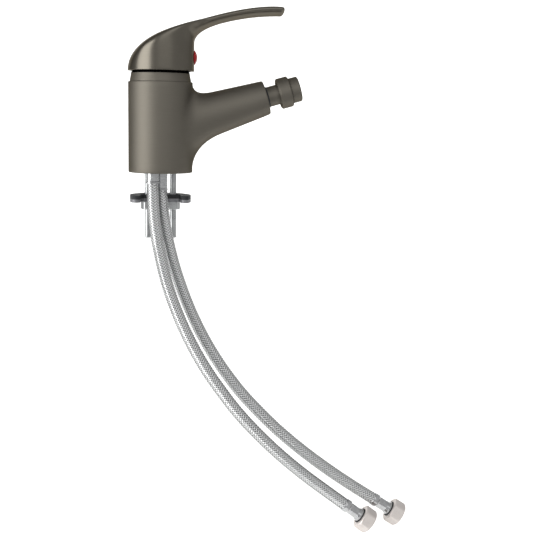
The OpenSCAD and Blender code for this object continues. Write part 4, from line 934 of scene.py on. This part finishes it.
def makeStudio(s):
    tree = newMaterial("matWhitePaper")
    rays = addNode(tree, "ShaderNodeLightPath").outputs
    seen = addNode(tree, "ShaderNodeMath", {"operation": "MAXIMUM"}, {
        0: rays["Is Camera Ray"], 1: rays["Is Glossy Ray"]})
    seen = addNode(tree, "ShaderNodeMath", {"operation": "MAXIMUM"}, {
        0: seen.outputs[0], 1: rays["Is Transmission Ray"]})
    glow = addNode(tree, "ShaderNodeMath", {"operation": "MULTIPLY"}, {0: seen.outputs[0], 1: s["glow"]})
    matt = addNode(tree, "ShaderNodeBsdfDiffuse", inputs={"Color": linear(s["white"])})
    light = addNode(tree, "ShaderNodeEmission", inputs={"Color": (1, 1, 1, 1), "Strength": glow.outputs[0]})
    both = addNode(tree, "ShaderNodeAddShader", inputs={0: matt.outputs[0], 1: light.outputs[0]})
    addNode(tree, "ShaderNodeOutputMaterial", inputs={"Surface": both.outputs[0]})
    z, y, sweep = s["floorZ"], s["backdropY"], s["sweep"]
    corner = [(y - sweep + sweep * math.sin(a), z + sweep * (1 - math.cos(a)))
              for a in np.linspace(0, math.pi / 2, s["sweepSteps"])]
    line = [(s["nearY"], z)] + corner + [(y, z + s["tall"])]
    data = bpy.data.meshes.new("paperSweep")
    verts = [(x, py, pz) for py, pz in line for x in s["across"]]
    data.from_pydata(verts, [], [(2 * i, 2 * i + 1, 2 * i + 3, 2 * i + 2) for i in range(len(line) - 1)])
    data.materials.append(finishes["matWhitePaper"])
    paper = bpy.data.objects.new("paperSweep", data)
    scene.collection.objects.link(paper)
    for face in data.polygons:
        face.use_smooth = True
    world = bpy.data.worlds.new("studio")
    scene.world = world
    world.use_nodes = True
    tree = world.node_tree
    tree.nodes.clear()
    way = addNode(tree, "ShaderNodeTexCoord").outputs["Generated"]
    facing = addNode(tree, "ShaderNodeVectorMath", {"operation": "DOT_PRODUCT"}, {
        0: way, 1: tuple(Vector(s["brightSide"]).normalized())})
    level = addNode(tree, "ShaderNodeMapRange", {"interpolation_type": "SMOOTHSTEP"}, {
        "Value": facing.outputs["Value"], "From Min": s["surroundFrom"][0], "From Max": s["surroundFrom"][1],
        "To Min": s["surroundLow"], "To Max": s["surroundHigh"]})
    sky = addNode(tree, "ShaderNodeBackground", inputs={"Color": (1, 1, 1, 1), "Strength": level.outputs[0]})
    addNode(tree, "ShaderNodeOutputWorld", inputs={"Surface": sky.outputs[0]})
    for name, place, target, size, power in s["lamps"]:
        lamp = bpy.data.lights.new(name, "AREA")
        lamp.shape = "RECTANGLE"
        lamp.size, lamp.size_y = size
        lamp.energy = power
        holder = bpy.data.objects.new(name, lamp)
        holder.location = place
        holder.rotation_euler = (Vector(target) - Vector(place)).to_track_quat("-Z", "Y").to_euler()
        scene.collection.objects.link(holder)


makeStudio(studioSettings)
print("studio lit")
